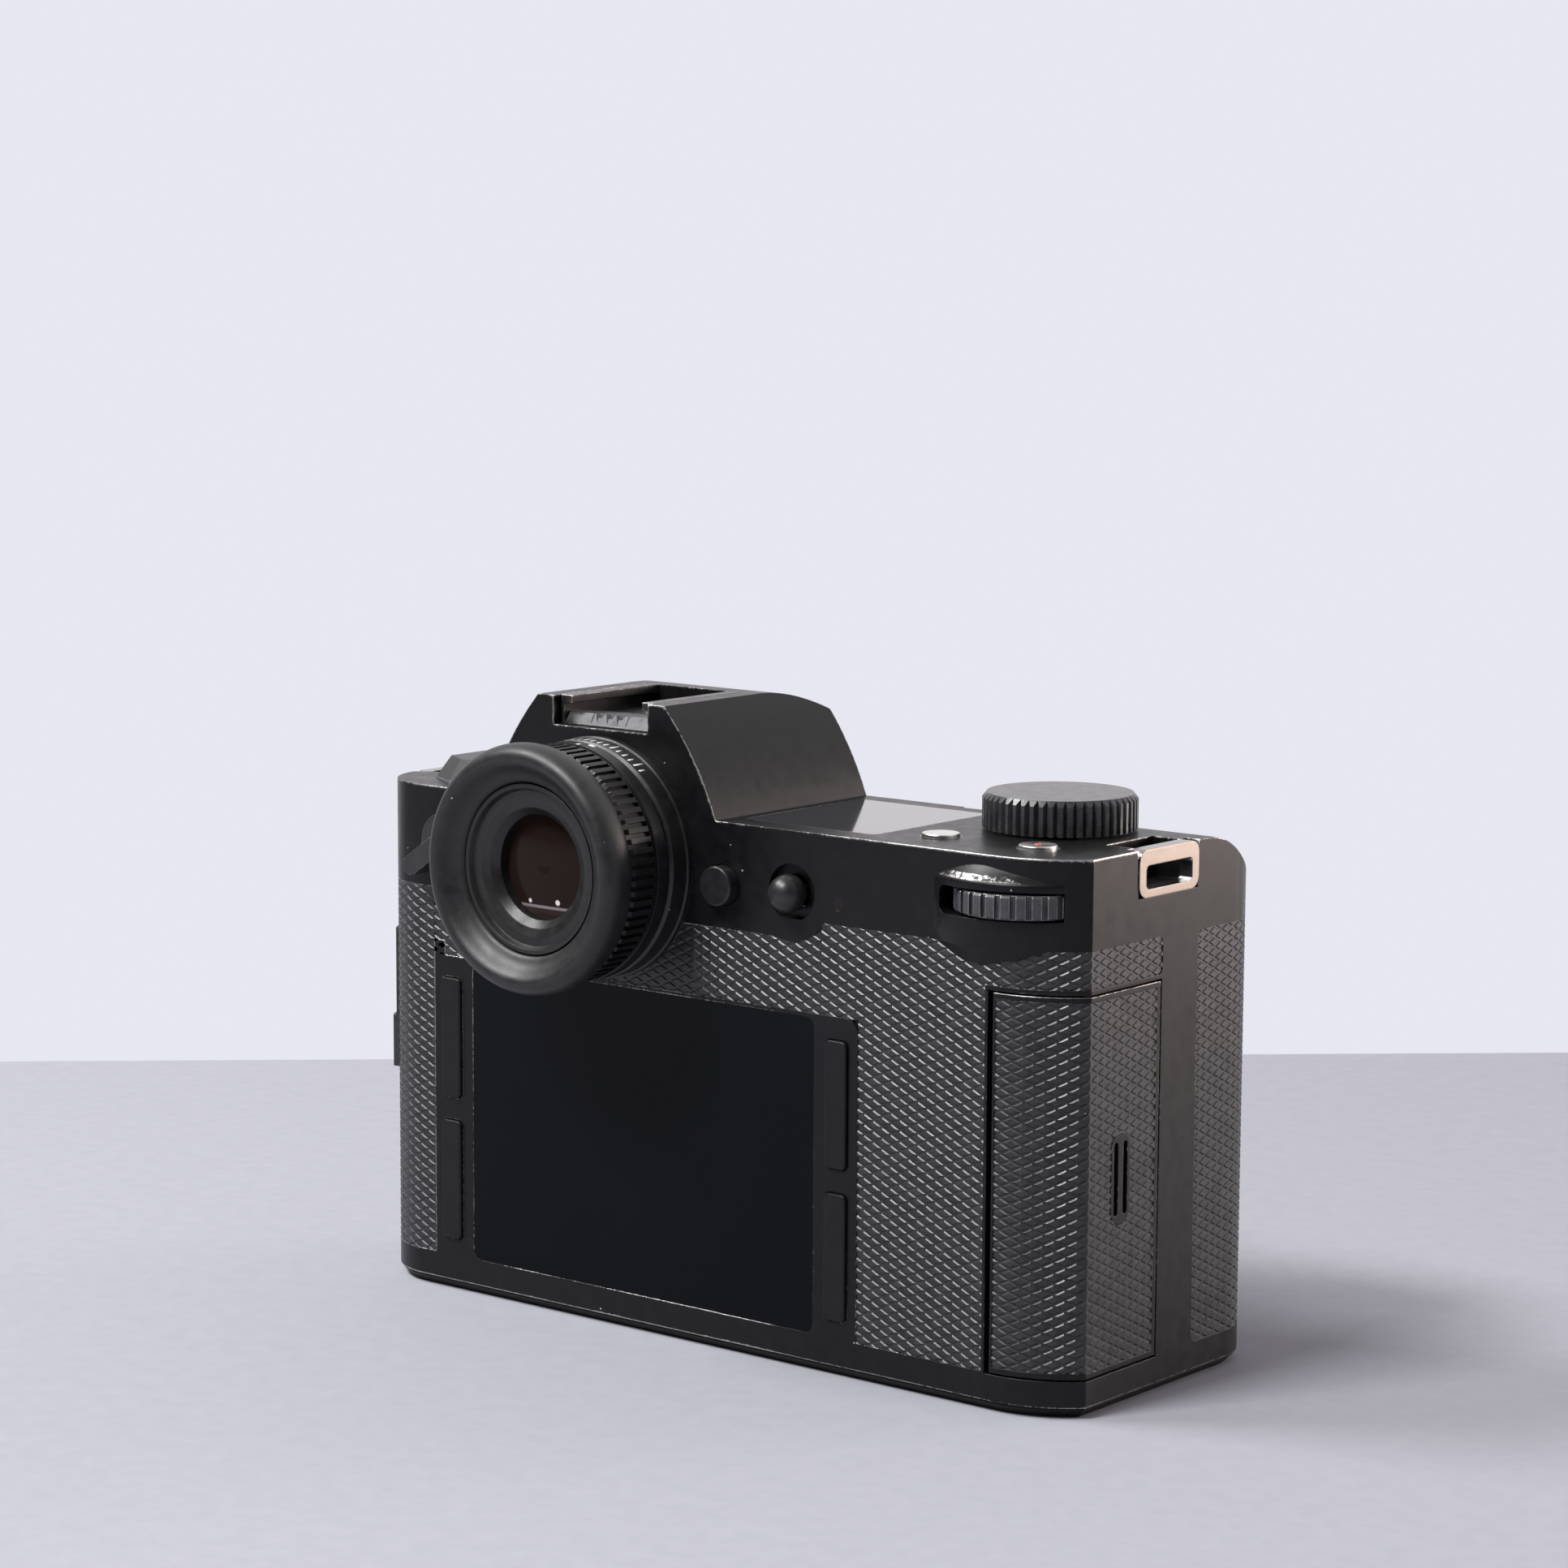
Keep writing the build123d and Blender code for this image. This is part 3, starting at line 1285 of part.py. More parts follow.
# Eyepiece: barrel, lens and display
with BuildPart() as eyepiece_barrel:
    revolve(
        turned(
            (barrel_radius, -wall),
            (barrel_radius, barrel_end),
            (barrel_radius - 0.7, barrel_end),
            (barrel_radius - 1.2, barrel_end - 0.9),
            (barrel_radius - 2.6, barrel_end - 1.0),
            (eye_lens_radius + 1.2, barrel_end - 1.6),
            (eye_lens_radius, barrel_end - 2.8),
            (eye_lens_radius, eye_lens_front - eye_lens_thickness),
            (eye_lens_radius - 0.8, eye_lens_front - eye_lens_thickness),
            (eye_lens_radius - 0.8, eye_lens_front - eye_lens_thickness - 1),
            (barrel_radius - 3.2, 8),
            (barrel_radius - 3.2, -body_back + barrel_inner_end),
            (barrel_radius - 1.4, -body_back + barrel_inner_end),
            (barrel_radius - 1.4, -wall - 1.5),
            (barrel_radius + 1.6, -wall - 1.5),
            (barrel_radius + 1.6, -wall),
        ),
        axis=eye_axis,
    )
save(eyepiece_barrel.part, "eyepiece_barrel")

with BuildPart() as eyepiece_lens:
    with BuildSketch(Plane.XY.offset(eye_height)):
        with BuildLine():
            rear = -body_back - eye_lens_front + eye_lens_thickness
            dome = JernArc(
                start=(0, rear - eye_lens_thickness),
                tangent=(1, 0),
                radius=eye_lens_dome,
                arc_size=degrees(asin(eye_lens_radius / eye_lens_dome)),
            )
            Polyline(dome @ 1, (eye_lens_radius, rear), (0, rear), dome @ 0)
        make_face()
    revolve(axis=eye_axis)
save(eyepiece_lens.part, "eyepiece_lens")

with BuildPart() as finder_display:
    with BuildSketch(upright(-barrel_inner_end + finder_depth)):
        with Locations((0, eye_height)):
            Rectangle(finder_width, finder_height)
    extrude(amount=finder_depth)
save(finder_display.part, "finder_display")

with BuildPart() as eyepiece_collar:
    revolve(
        turned(
            (barrel_radius, 0),
            (collar_foot_radius, 0),
            (collar_foot_radius, collar_foot_depth - 0.2),
            (collar_foot_radius - 0.2, collar_foot_depth),
            (collar_radius, collar_foot_depth),
            (collar_radius, collar_end - 0.5),
            (collar_radius - 0.5, collar_end),
            (barrel_radius, collar_end),
        ),
        axis=eye_axis,
    )
save(eyepiece_collar.part, "eyepiece_collar")

with BuildPart() as dioptre_ring:
    revolve(
        turned(
            (barrel_radius + turn_gap, dioptre_start),
            (dioptre_radius - 0.3, dioptre_start),
            (dioptre_radius, dioptre_start + 0.3),
            (dioptre_radius, dioptre_knurl_start - 0.8),
            (dioptre_radius - 0.6, dioptre_knurl_start - 0.6),
            (dioptre_radius - 0.6, dioptre_knurl_start - 0.2),
            (dioptre_radius - 0.1, dioptre_knurl_start),
            (dioptre_radius - 0.1, dioptre_end - 0.5),
            (dioptre_radius - 0.6, dioptre_end),
            (barrel_radius + turn_gap, dioptre_end),
        ),
        axis=eye_axis,
    )
    with BuildSketch(upright(-body_back - dioptre_knurl_start)):
        with Locations((0, eye_height)):
            with PolarLocations(dioptre_radius - 0.1, dioptre_knurl_count):
                Rectangle(2 * dioptre_groove_depth, dioptre_groove_width)
    extrude(amount=dioptre_end - dioptre_knurl_start, mode=Mode.SUBTRACT)
save(dioptre_ring.part, "dioptre_ring")

# Eyecup: rubber roll pushed on the barrel
with BuildPart() as eyecup:
    with BuildSketch(Plane.XY.offset(eye_height)):
        with BuildLine():
            back_y = -body_back - eyecup_start
            front_y = -body_back - eyecup_end
            seat = Polyline((barrel_radius, front_y + 3.3), (barrel_radius, back_y),
                            (eyecup_radius - 3.2, back_y))
            shoulder = ThreePointArc(seat @ 1, (eyecup_radius - 0.7, back_y - 0.7),
                                     (eyecup_radius, back_y - 2.2))
            side = Line(shoulder @ 1, (eyecup_radius, front_y + 2.6))
            roll = ThreePointArc(side @ 1, (eyecup_radius - 0.75, front_y + 0.75),
                                 (eyecup_radius - 2.6, front_y))
            ThreePointArc(roll @ 1, (barrel_radius + 1.6, front_y + 1.1), seat @ 0)
        make_face()
    revolve(axis=eye_axis)
save(eyecup.part, "eyecup")

# Screen: cover glass and the panel behind it
with BuildPart() as screen_glass:
    with BuildSketch(upright(-body_back)):
        with Locations((screen_x, screen_z)):
            RectangleRounded(screen_width, screen_height, screen_radius)
    extrude(amount=-screen_thickness)
save(screen_glass.part, "screen_glass")

with BuildPart() as screen_panel:
    with BuildSketch(upright(-body_back + screen_thickness)):
        with Locations((screen_x, screen_z)):
            Rectangle(screen_width - 2 * screen_panel_margin, screen_height - 2 * screen_panel_margin)
    extrude(amount=-screen_panel_depth)
save(screen_panel.part, "screen_panel")

# Four long keys, each a bar with a flange behind the wall
keys = [
    ("key_left_upper", key_left_x, key_upper_z),
    ("key_left_lower", key_left_x, key_lower_z),
    ("key_right_upper", key_right_x, key_upper_z),
    ("key_right_lower", key_right_x, key_lower_z),
]
for key_name, key_x, key_z in keys:
    with BuildPart() as key:
        with BuildSketch(upright(inner_back + flange_gap)):
            with Locations((key_x, key_z)):
                RectangleRounded(key_width, key_height, key_radius)
        extrude(amount=wall + flange_gap + key_proud)
        fillet(key.faces().sort_by(Axis.Y)[0].edges(), 0.3)
        with BuildSketch(upright(inner_back + flange_gap + 0.8)):
            with Locations((key_x, key_z)):
                Rectangle(key_width + 1.0, key_height + 1.0)
        extrude(amount=0.8)
    save(key.part, key_name)

# Round controls on the back
view_button = pressed_button(
    view_button_x, view_button_z, view_button_radius, -body_back - view_button_proud,
    inner_back, inner_back + flange_gap + button_flange_thickness,
)
save(view_button, "view_button")

save(round_bar(status_lamp_x, status_lamp_z, status_lamp_radius, -body_back, -body_back + 1.5),
     "status_lamp")

# Joystick: gimbal ring, stem and ball cap
with BuildPart() as joystick_gimbal:
    with BuildSketch(upright(joystick_pivot + 1)):
        with Locations((joystick_x, joystick_z)):
            RectangleRounded(2 * gimbal_half, 2 * gimbal_half, 1)
            Rectangle(2 * (gimbal_half - gimbal_wall), 2 * (gimbal_half - gimbal_wall),
                      mode=Mode.SUBTRACT)
    extrude(amount=2)
    with BuildSketch(Plane.YZ.offset(joystick_x + gimbal_half - 0.4)):
        with Locations((joystick_pivot, joystick_z)):
            Circle(gimbal_pin_radius)
    extrude(amount=2.4)
    with BuildSketch(Plane.YZ.offset(joystick_x - gimbal_half + 0.4)):
        with Locations((joystick_pivot, joystick_z)):
            Circle(gimbal_pin_radius)
    extrude(amount=-2.4)
    with BuildSketch(Plane.XY.offset(joystick_z - gimbal_half - 1)):
        with Locations((joystick_x, joystick_pivot)):
            Circle(gimbal_pin_radius + turn_gap)
    extrude(amount=2 * gimbal_half + 2, mode=Mode.SUBTRACT)
save(joystick_gimbal.part, "joystick_gimbal")

ball_y = -body_back - joystick_ball_centre
stem_tip = ball_y + 0.4
with BuildPart() as joystick_stem:
    add(round_bar(joystick_x, joystick_z, 1.1, stem_tip, joystick_pivot + 1.2))
    with BuildSketch(Plane.XY.offset(joystick_z - gimbal_half + 0.3)):
        with Locations((joystick_x, joystick_pivot)):
            Circle(gimbal_pin_radius)
    extrude(amount=2 * gimbal_half - 0.6)
save(joystick_stem.part, "joystick_stem")

with BuildPart() as joystick_cap:
    with Locations((joystick_x, ball_y, joystick_z)):
        Sphere(joystick_ball_radius)
    split(bisect_by=upright(ball_y + joystick_ball_radius / 2), keep=Keep.TOP)
    add(round_bar(joystick_x, joystick_z, 1.1 + turn_gap, stem_tip - joystick_press - 0.1,
                  ball_y + joystick_ball_radius),
        mode=Mode.SUBTRACT)
save(joystick_cap.part, "joystick_cap")

# Power switch: round knob with a finger tab, on a post through the wall
switch_back = -body_back - slide_gap
with BuildPart() as power_switch:
    with BuildSketch(upright(switch_back)):
        with Locations((switch_x, switch_z)):
            Circle(switch_radius)
    extrude(amount=switch_thickness)
    fillet(power_switch.faces().sort_by(Axis.Y)[0].edges(), 0.5)
    with BuildSketch(upright(switch_back - 0.6)):
        with Locations((switch_x + switch_tab_reach / 2 * cos(radians(switch_tab_angle)),
                        switch_z + switch_tab_reach / 2 * sin(radians(switch_tab_angle)))):
            SlotOverall(switch_tab_reach + 3, 3.4, rotation=switch_tab_angle)
    extrude(amount=switch_thickness + 0.8)
    add(round_bar(switch_x, switch_z, switch_post_radius, switch_back, inner_back + 1))
save(power_switch.part, "power_switch")

# Thumb wheel with its axle
with BuildPart() as thumb_wheel:
    with BuildSketch(Plane.XY.offset(wheel_bottom)):
        with Locations((wheel_x, wheel_y)):
            Circle(wheel_radius)
    extrude(amount=wheel_thickness)
    chamfer(thumb_wheel.edges(), 0.3)
    with BuildSketch(Plane.XY.offset(wheel_bottom)):
        with Locations((wheel_x, wheel_y)):
            with PolarLocations(wheel_radius, wheel_rib_count):
                Rectangle(2 * wheel_groove_depth, wheel_groove_width)
    extrude(amount=wheel_thickness, mode=Mode.SUBTRACT)
    with BuildSketch(Plane.XY.offset(axle_bottom)):
        with Locations((wheel_x, wheel_y)):
            Circle(axle_radius)
    extrude(amount=wheel_bottom - axle_bottom)
save(thumb_wheel.part, "thumb_wheel")

# Accessory shoe: steel channel with two lips
with BuildPart() as hot_shoe:
    with BuildSketch(upright(-body_back + shoe_plate_setback)):
        with BuildLine():
            Polyline(
                (-shoe_half_width, shoe_floor),
                (-shoe_half_width, hump_top),
                (-shoe_half_gap, hump_top),
                (-shoe_half_gap, hump_top - shoe_lip_thickness),
                (-shoe_foot_half_width, hump_top - shoe_lip_thickness),
                (-shoe_foot_half_width, shoe_floor + shoe_plate_thickness),
                (shoe_foot_half_width, shoe_floor + shoe_plate_thickness),
                (shoe_foot_half_width, hump_top - shoe_lip_thickness),
                (shoe_half_gap, hump_top - shoe_lip_thickness),
                (shoe_half_gap, hump_top),
                (shoe_half_width, hump_top),
                (shoe_half_width, shoe_floor),
                close=True,
            )
        make_face()
    extrude(amount=-(shoe_length - shoe_plate_setback))
    floor_z = shoe_floor + shoe_plate_thickness
    chamfer(hot_shoe.edges().filter_by(Axis.X).sort_by_distance((0, -body_back, floor_z))[0],
            shoe_plate_bevel)
save(hot_shoe.part, "hot_shoe")

# Top window
with BuildPart() as top_window:
    with BuildSketch(Plane.XY.offset(shoulder_height)):
        with Locations(((window_left + window_right) / 2, (window_back + window_front) / 2)):
            RectangleRounded(window_right - window_left, window_front - window_back, window_radius)
    extrude(amount=-window_thickness)
save(top_window.part, "top_window")

# Two flat round buttons on the top plate
for button_name, button_x in (
    ("top_button_left", top_button_left_x),
    ("top_button_right", top_button_right_x),
):
    with BuildPart() as top_button:
        with BuildSketch(Plane.XY.offset(shoulder_height - roof - flange_gap)):
            with Locations((button_x, top_button_y)):
                Circle(top_button_radius)
        extrude(amount=roof + flange_gap + top_button_proud)
        fillet(top_button.edges().group_by(Axis.Z)[-1], 0.2)
        with BuildSketch(Plane.XY.offset(shoulder_height - roof - flange_gap)):
            with Locations((button_x, top_button_y)):
                Circle(top_button_radius + button_flange)
        extrude(amount=-button_flange_thickness)
    save(top_button.part, button_name)

# Top dial: toothed rim, bevelled face, on its shaft
dial_bottom = shoulder_height + dial_gap
groove_half = dial_radius * sin(radians(dial_groove_share * 180 / dial_tooth_count))
with BuildPart() as top_dial:
    with BuildSketch(Plane.XY.offset(dial_bottom)):
        with Locations((dial_x, dial_y)):
            Circle(dial_radius)
    extrude(amount=dial_height)
    chamfer(top_dial.edges().group_by(Axis.Z)[-1], dial_bevel, 0.8 * dial_bevel)
    with BuildSketch(Plane.XY.offset(dial_bottom)):
        with Locations((dial_x, dial_y)):
            with PolarLocations(dial_radius - dial_tooth_depth, dial_tooth_count):
                Polygon((0, 0), (dial_tooth_depth + 0.1, groove_half),
                        (dial_tooth_depth + 0.1, -groove_half), align=None)
    extrude(amount=dial_height, mode=Mode.SUBTRACT)
    with BuildSketch(Plane.XY.offset(dial_shaft_bottom)):
        with Locations((dial_x, dial_y)):
            Circle(dial_shaft_radius)
    extrude(amount=dial_bottom - dial_shaft_bottom)
save(top_dial.part, "top_dial")

# Shutter button, square to the grip's slope
brow_wall = roof * cos(slope_angle)
with BuildPart() as shutter_button:
    with BuildSketch(shutter_plane.offset(shutter_button_proud)):
        Circle(shutter_button_radius)
    extrude(amount=-(shutter_button_proud + brow_wall + flange_gap))
    fillet(shutter_button.edges().sort_by(Axis.Z)[-1], 0.4)
    with BuildSketch(shutter_plane.offset(-brow_wall - flange_gap)):
        Circle(shutter_button_radius + 0.6)
    extrude(amount=-1.2)
save(shutter_button.part, "shutter_button")

# Strap lugs: slotted plates let into both ends of the top plate
with BuildPart() as strap_lugs:
    for end_x, lug_y, side in lugs:
        with BuildSketch(Plane.YZ.offset(end_x + side * lug_proud)):
            with Locations((lug_y, (lug_bottom + shoulder_height) / 2)):
                RectangleRounded(lug_width, shoulder_height - lug_bottom, lug_radius)
            with Locations((lug_y, lug_slot_z)):
                RectangleRounded(lug_slot_length, lug_slot_height, 0.8, mode=Mode.SUBTRACT)
        extrude(amount=-side * lug_thickness)
save(strap_lugs.part, "strap_lugs")

# Antenna cover on the left shoulder, with drafted sides
with BuildPart() as antenna_cover:
    with BuildSketch(Plane.XY.offset(shoulder_height)):
        with BuildLine():
            right = -hump_half_foot - 0.4
            Polyline(
                (antenna_left, antenna_back + antenna_corner * 0.56),
                (antenna_left + antenna_corner, antenna_back),
                (right, antenna_back),
                (right, antenna_front),
                (antenna_left, antenna_front),
                close=True,
            )
        make_face()
    extrude(amount=antenna_height, taper=antenna_draft)
save(antenna_cover.part, "antenna_cover")
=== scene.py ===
from math import asin, atan2, cos, hypot, pi, radians, sin, tan

import bmesh
import bpy
from mathutils import Matrix, Vector


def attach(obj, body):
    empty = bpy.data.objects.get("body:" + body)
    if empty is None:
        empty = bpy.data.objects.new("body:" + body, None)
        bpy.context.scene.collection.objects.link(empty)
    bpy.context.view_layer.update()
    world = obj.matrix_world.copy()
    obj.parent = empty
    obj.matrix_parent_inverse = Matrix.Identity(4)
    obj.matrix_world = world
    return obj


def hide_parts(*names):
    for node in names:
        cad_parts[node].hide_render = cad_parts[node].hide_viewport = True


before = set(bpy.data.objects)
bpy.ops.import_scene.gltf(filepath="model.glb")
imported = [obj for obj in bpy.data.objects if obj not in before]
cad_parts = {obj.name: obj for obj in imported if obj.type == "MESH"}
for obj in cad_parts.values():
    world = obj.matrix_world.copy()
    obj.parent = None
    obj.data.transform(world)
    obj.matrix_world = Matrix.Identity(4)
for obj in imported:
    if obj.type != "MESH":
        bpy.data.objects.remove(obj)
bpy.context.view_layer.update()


# Casing: the milled metal block with its grip and left end, blasted, painted
# satin black and rubbed bright on its outer edges. The three solids are shown
# as the one block that they are, without the seams under the leather.
mm = 0.001
black_paint, bare_metal = (0.0055, 0.0055, 0.0062), (0.72, 0.70, 0.67)
dust_colour = (0.42, 0.42, 0.41)
bare_rough = 0.3
band_seam_z = 72.5
seam_grip_x, seam_grip_y, seam_end_x = 43.6 * mm, 16.9 * mm, -43.6 * mm
seam_grip_back, seam_grip_left = 15.0 * mm, 90.5 * mm


def node_in(tree, kind, settings=None, **sockets):
    """Adds a shader node; settings are its properties, sockets its inputs by name, or i and a number."""
    node = tree.nodes.new("ShaderNode" + kind)
    for key, value in (settings or {}).items():
        setattr(node, key, value)
    for key, value in sockets.items():
        socket = node.inputs[int(key[1:])] if key[1:].isdigit() else node.inputs[key.replace("_", " ")]
        if isinstance(value, bpy.types.NodeSocket):
            tree.links.new(value, socket)
        else:
            socket.default_value = value
    return node


def sums(tree, operation, a, b=0.0, c=0.0):
    """One Math node; a, b and c are numbers or sockets."""
    return node_in(tree, "Math", {"operation": operation}, i0=a, i1=b, i2=c).outputs[0]


def spread(tree, value, low, high, to_low=0.0, to_high=1.0):
    """Maps a value's range to another one, held at its ends."""
    return node_in(tree, "MapRange", {"clamp": True}, Value=value, From_Min=low, From_Max=high,
                   To_Min=to_low, To_Max=to_high).outputs["Result"]


def blend(tree, factor, a, b):
    """Mixes two colours, each a socket or a tuple."""
    node = tree.nodes.new("ShaderNodeMix")
    node.data_type = "RGBA"
    for socket, value in ((node.inputs["Factor"], factor), (node.inputs["A"], a), (node.inputs["B"], b)):
        if isinstance(value, bpy.types.NodeSocket):
            tree.links.new(value, socket)
        elif socket.type == "RGBA":
            socket.default_value = (*value, 1.0)
        else:
            socket.default_value = value
    return node.outputs["Result"]


def along(tree, place, axis):
    """One coordinate of a position or a direction."""
    return node_in(tree, "SeparateXYZ", Vector=place).outputs[axis]


def noise(tree, place, scale, detail, roughness=0.5):
    """Cloudy noise, mostly between 0.3 and 0.7, with about scale blots to the metre."""
    return node_in(tree, "TexNoise", Vector=place, Scale=scale, Detail=detail,
                   Roughness=roughness).outputs["Fac"]


def dusted(tree, place, skin, dust):
    """Scatters pale specks of many sizes over a share, dust, of the cells of a fine pattern."""
    cells = node_in(tree, "TexVoronoi", Vector=place, Scale=430.0)
    draw = node_in(tree, "SeparateColor", Color=cells.outputs["Color"]).outputs["Red"]
    size = sums(tree, "MULTIPLY", sums(tree, "SUBTRACT", draw, 1.0 - dust), 0.07 / dust)
    speck = sums(tree, "LESS_THAN", cells.outputs["Distance"], size)
    return blend(tree, speck, skin, dust_colour)


def rubbed(tree, place, cloud, clear, edge, rubs):
    """How hard a spot is rubbed: most on outer edges, ragged, uneven, and more or less as rubs say."""
    hollow = node_in(tree, "AmbientOcclusion", {"inside": True, "only_local": True, "samples": 8},
                     Distance=edge * mm).outputs["AO"]
    amount = sums(tree, "MULTIPLY_ADD", hollow, -2.2, 2.2)
    if clear:
        amount = sums(tree, "MULTIPLY", amount, clear)
    amount = sums(tree, "MULTIPLY_ADD", noise(tree, place, 1500.0, 6.0, 0.7), 1.5, amount)
    amount = sums(tree, "MULTIPLY_ADD", cloud, 1.1, amount)
    for axis, low, high, more in rubs:
        reach = spread(tree, along(tree, place, axis), low * mm, high * mm, 0.0, more)
        amount = sums(tree, "ADD", amount, reach)
    return amount


def surface_normal(tree, place, clear, round_edge, grain, grain_scale):
    """The normal of a surface with softened edges and a fine grain, or None where it has neither."""
    normal = None
    if round_edge:
        normal = node_in(tree, "Bevel", {"samples": 4}, Radius=round_edge * mm).outputs["Normal"]
        if clear:
            mix = node_in(tree, "Mix", {"data_type": "VECTOR"})
            plain = node_in(tree, "NewGeometry").outputs["Normal"]
            for socket, value in ((mix.inputs[0], clear), (mix.inputs[4], plain), (mix.inputs[5], normal)):
                tree.links.new(value, socket)
            normal = mix.outputs[1]
    if grain:
        dots = noise(tree, place, grain_scale, 3.0)
        bump = node_in(tree, "Bump", Strength=grain, Distance=0.05 * mm, Height=dots)
        if normal:
            tree.links.new(normal, bump.inputs["Normal"])
        normal = bump.outputs["Normal"]
    return normal


def coated(name, colour, rough, metallic=0.0, bare=None, wear=2.5, edge=0.6, dust=0.0, grain=0.0,
           grain_scale=2500.0, round_edge=0.25, rubs=(), tint=0.35, specular=0.5, seam=None):
    """A solid finish: fine grain, specks of dust, softened edges, and bare where edges are rubbed.

    edge and round_edge are in mm. seam is the height, in mm, of the joint with the next part, where
    no edge is rubbed. Each of rubs is an axis, the two places along it, in mm, between which more
    wear sets in, and how much. wear is the amount from which the finish is gone."""
    look = bpy.data.materials.new(name)
    look.use_nodes = True
    tree = look.node_tree
    shader = tree.nodes["Principled BSDF"]
    shader.inputs["Specular IOR Level"].default_value = specular
    shader.inputs["Metallic"].default_value = metallic
    place = node_in(tree, "TexCoord").outputs["Object"]
    clear = None
    if seam:
        gap = sums(tree, "ABSOLUTE", sums(tree, "SUBTRACT", along(tree, place, "Z"), seam * mm))
        clear = spread(tree, gap, 0.35 * mm, 0.8 * mm)
    mottle = noise(tree, place, 420.0, 5.0, 0.65)
    cloud = noise(tree, place, 45.0, 2.0)
    skin = blend(tree, spread(tree, mottle, 0.3, 0.7), [v * (1 - tint) for v in colour],
                 [v * (1 + tint) for v in colour])
    roughness = spread(tree, mottle, 0.3, 0.7, rough - 0.05, rough + 0.05)
    if dust:
        skin = dusted(tree, place, skin, dust)
    if bare:
        worn = spread(tree, rubbed(tree, place, cloud, clear, edge, rubs), wear, wear + 0.2)
        skin = blend(tree, worn, skin, bare)
        roughness = sums(tree, "MULTIPLY_ADD", worn, bare_rough - rough, roughness)
        tree.links.new(sums(tree, "MULTIPLY_ADD", worn, 1.0 - metallic, metallic), shader.inputs["Metallic"])
    tree.links.new(skin, shader.inputs["Base Color"])
    tree.links.new(roughness, shader.inputs["Roughness"])
    normal = surface_normal(tree, place, clear, round_edge, grain, grain_scale)
    if normal:
        tree.links.new(normal, shader.inputs["Normal"])
    return look


def merged(*names):
    """One bmesh of carried-over nodes, with doubled points joined and flat faces made whole."""
    shape = bmesh.new()
    for name in names:
        shape.from_mesh(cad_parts[name].data)
    bmesh.ops.remove_doubles(shape, verts=shape.verts, dist=0.002 * mm)
    bmesh.ops.dissolve_limit(shape, angle_limit=radians(0.1), verts=shape.verts, edges=shape.edges)
    return shape


def add_piece(name, shape, body, look, angle=35.0, flat_faces=False):
    """Turns a finished bmesh into a piece that rides on a body.

    Edges that turn by more than angle, in degrees, stay sharp, and none does at 0. flat_faces keeps
    large faces flat beside small ones."""
    mesh = bpy.data.meshes.new(name)
    shape.to_mesh(mesh)
    shape.free()
    mesh.materials.append(look)
    if "custom_normal" in mesh.attributes:
        mesh.attributes.remove(mesh.attributes["custom_normal"])
    mesh.shade_smooth()
    if angle:
        mesh.set_sharp_from_angle(angle=radians(angle))
    piece = bpy.data.objects.new(name, mesh)
    bpy.context.collection.objects.link(piece)
    if flat_faces:
        piece.modifiers.new("flat_faces", "WEIGHTED_NORMAL").keep_sharp = True
    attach(piece, body)
    return piece


def on_seam(face):
    """True for the inner faces where the three solids meet."""
    points = [v.co for v in face.verts]
    near = 0.01 * mm
    return (all(abs(p.x - seam_end_x) < near for p in points)
            or all(abs(p.x - seam_grip_x) < near and p.y > seam_grip_back for p in points)
            or all(abs(p.y - seam_grip_y) < near and p.x > seam_grip_left for p in points))


casing_look = coated("casing_paint", black_paint, 0.36, bare=bare_metal, wear=2.55, edge=0.45, dust=0.16,
                     grain=0.10, specular=0.25, seam=band_seam_z,
                     rubs=[("X", 38.0, 36.0, 0.25), ("Z", 2.6, 2.1, 0.30)])
casing_shape = merged("body_shell", "grip_shell", "end_shell")
bmesh.ops.delete(casing_shape, geom=[f for f in casing_shape.faces if on_seam(f)], context="FACES")
casing_piece = add_piece("casing", casing_shape, "camera_body", casing_look, 28.0, True)
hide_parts("body_shell", "grip_shell", "end_shell")

# Leatherette: thin sheets embossed with lozenges in rows, glued into shallow
# beds in the casing and cut round the screen, mount, buttons and port cover.
lozenge_width, lozenge_height = 3.5 * mm, 1.7 * mm
groove_floor, groove_width, groove_depth, sheet_depth = 0.12 * mm, 0.20 * mm, 0.155 * mm, 0.5 * mm
cut_reach = 1e-7
casing_left, casing_right, casing_back, casing_front = -53.1, 93.6, -19.5, 19.5
panel_left, grip_front, grip_crest_x, grip_root_x = -37.65, 35.7, 58.0, 47.0
left_radius, rear_radius, grip_radius, crest_radius, root_radius = 12.0, 19.0, 10.0, 7.0, 5.0
rear_inset = 14.0
rear_turn = asin(rear_inset / rear_radius)
side_start_y = casing_back + rear_radius * (1 - cos(rear_turn))
grip_slant = atan2(grip_front - casing_front, grip_crest_x - grip_root_x)
crest_reach, root_reach = crest_radius * tan(grip_slant / 2), root_radius * tan(grip_slant / 2)
sheet_low_z, back_top_z, front_top_z, left_top_z, past_top = 6.2, 72.5, 72.2, 69.25, 75
back_end_y, front_start_y, back_corner, front_corner = 5.6, 15.3, 1.0, 1.5
panel_cut_right, panel_cut_top = 53.75, 57.9
finder_z, finder_cut, joystick_x, joystick_z, joystick_cut = 78.2, 19.9, 40.2, 76.6, 7.8
door_rim_x, door_rim_top, past_back_end_y = 78.2, 66.6, 8.0
mount_z, mount_cut = 41.8, 33.9
release_x, release_z, release_cut = -37.5, 32.0, 5.6
front_button_x, front_button_z, front_button_cut = 36.0, 16.0, 5.0
lamp_x, lamp_z, lamp_cut = 40.0, 62.0, 3.0
port_low_z, port_high_z, port_before_left, port_past_rear = 35.8, 60.5, 0.2, 9.6


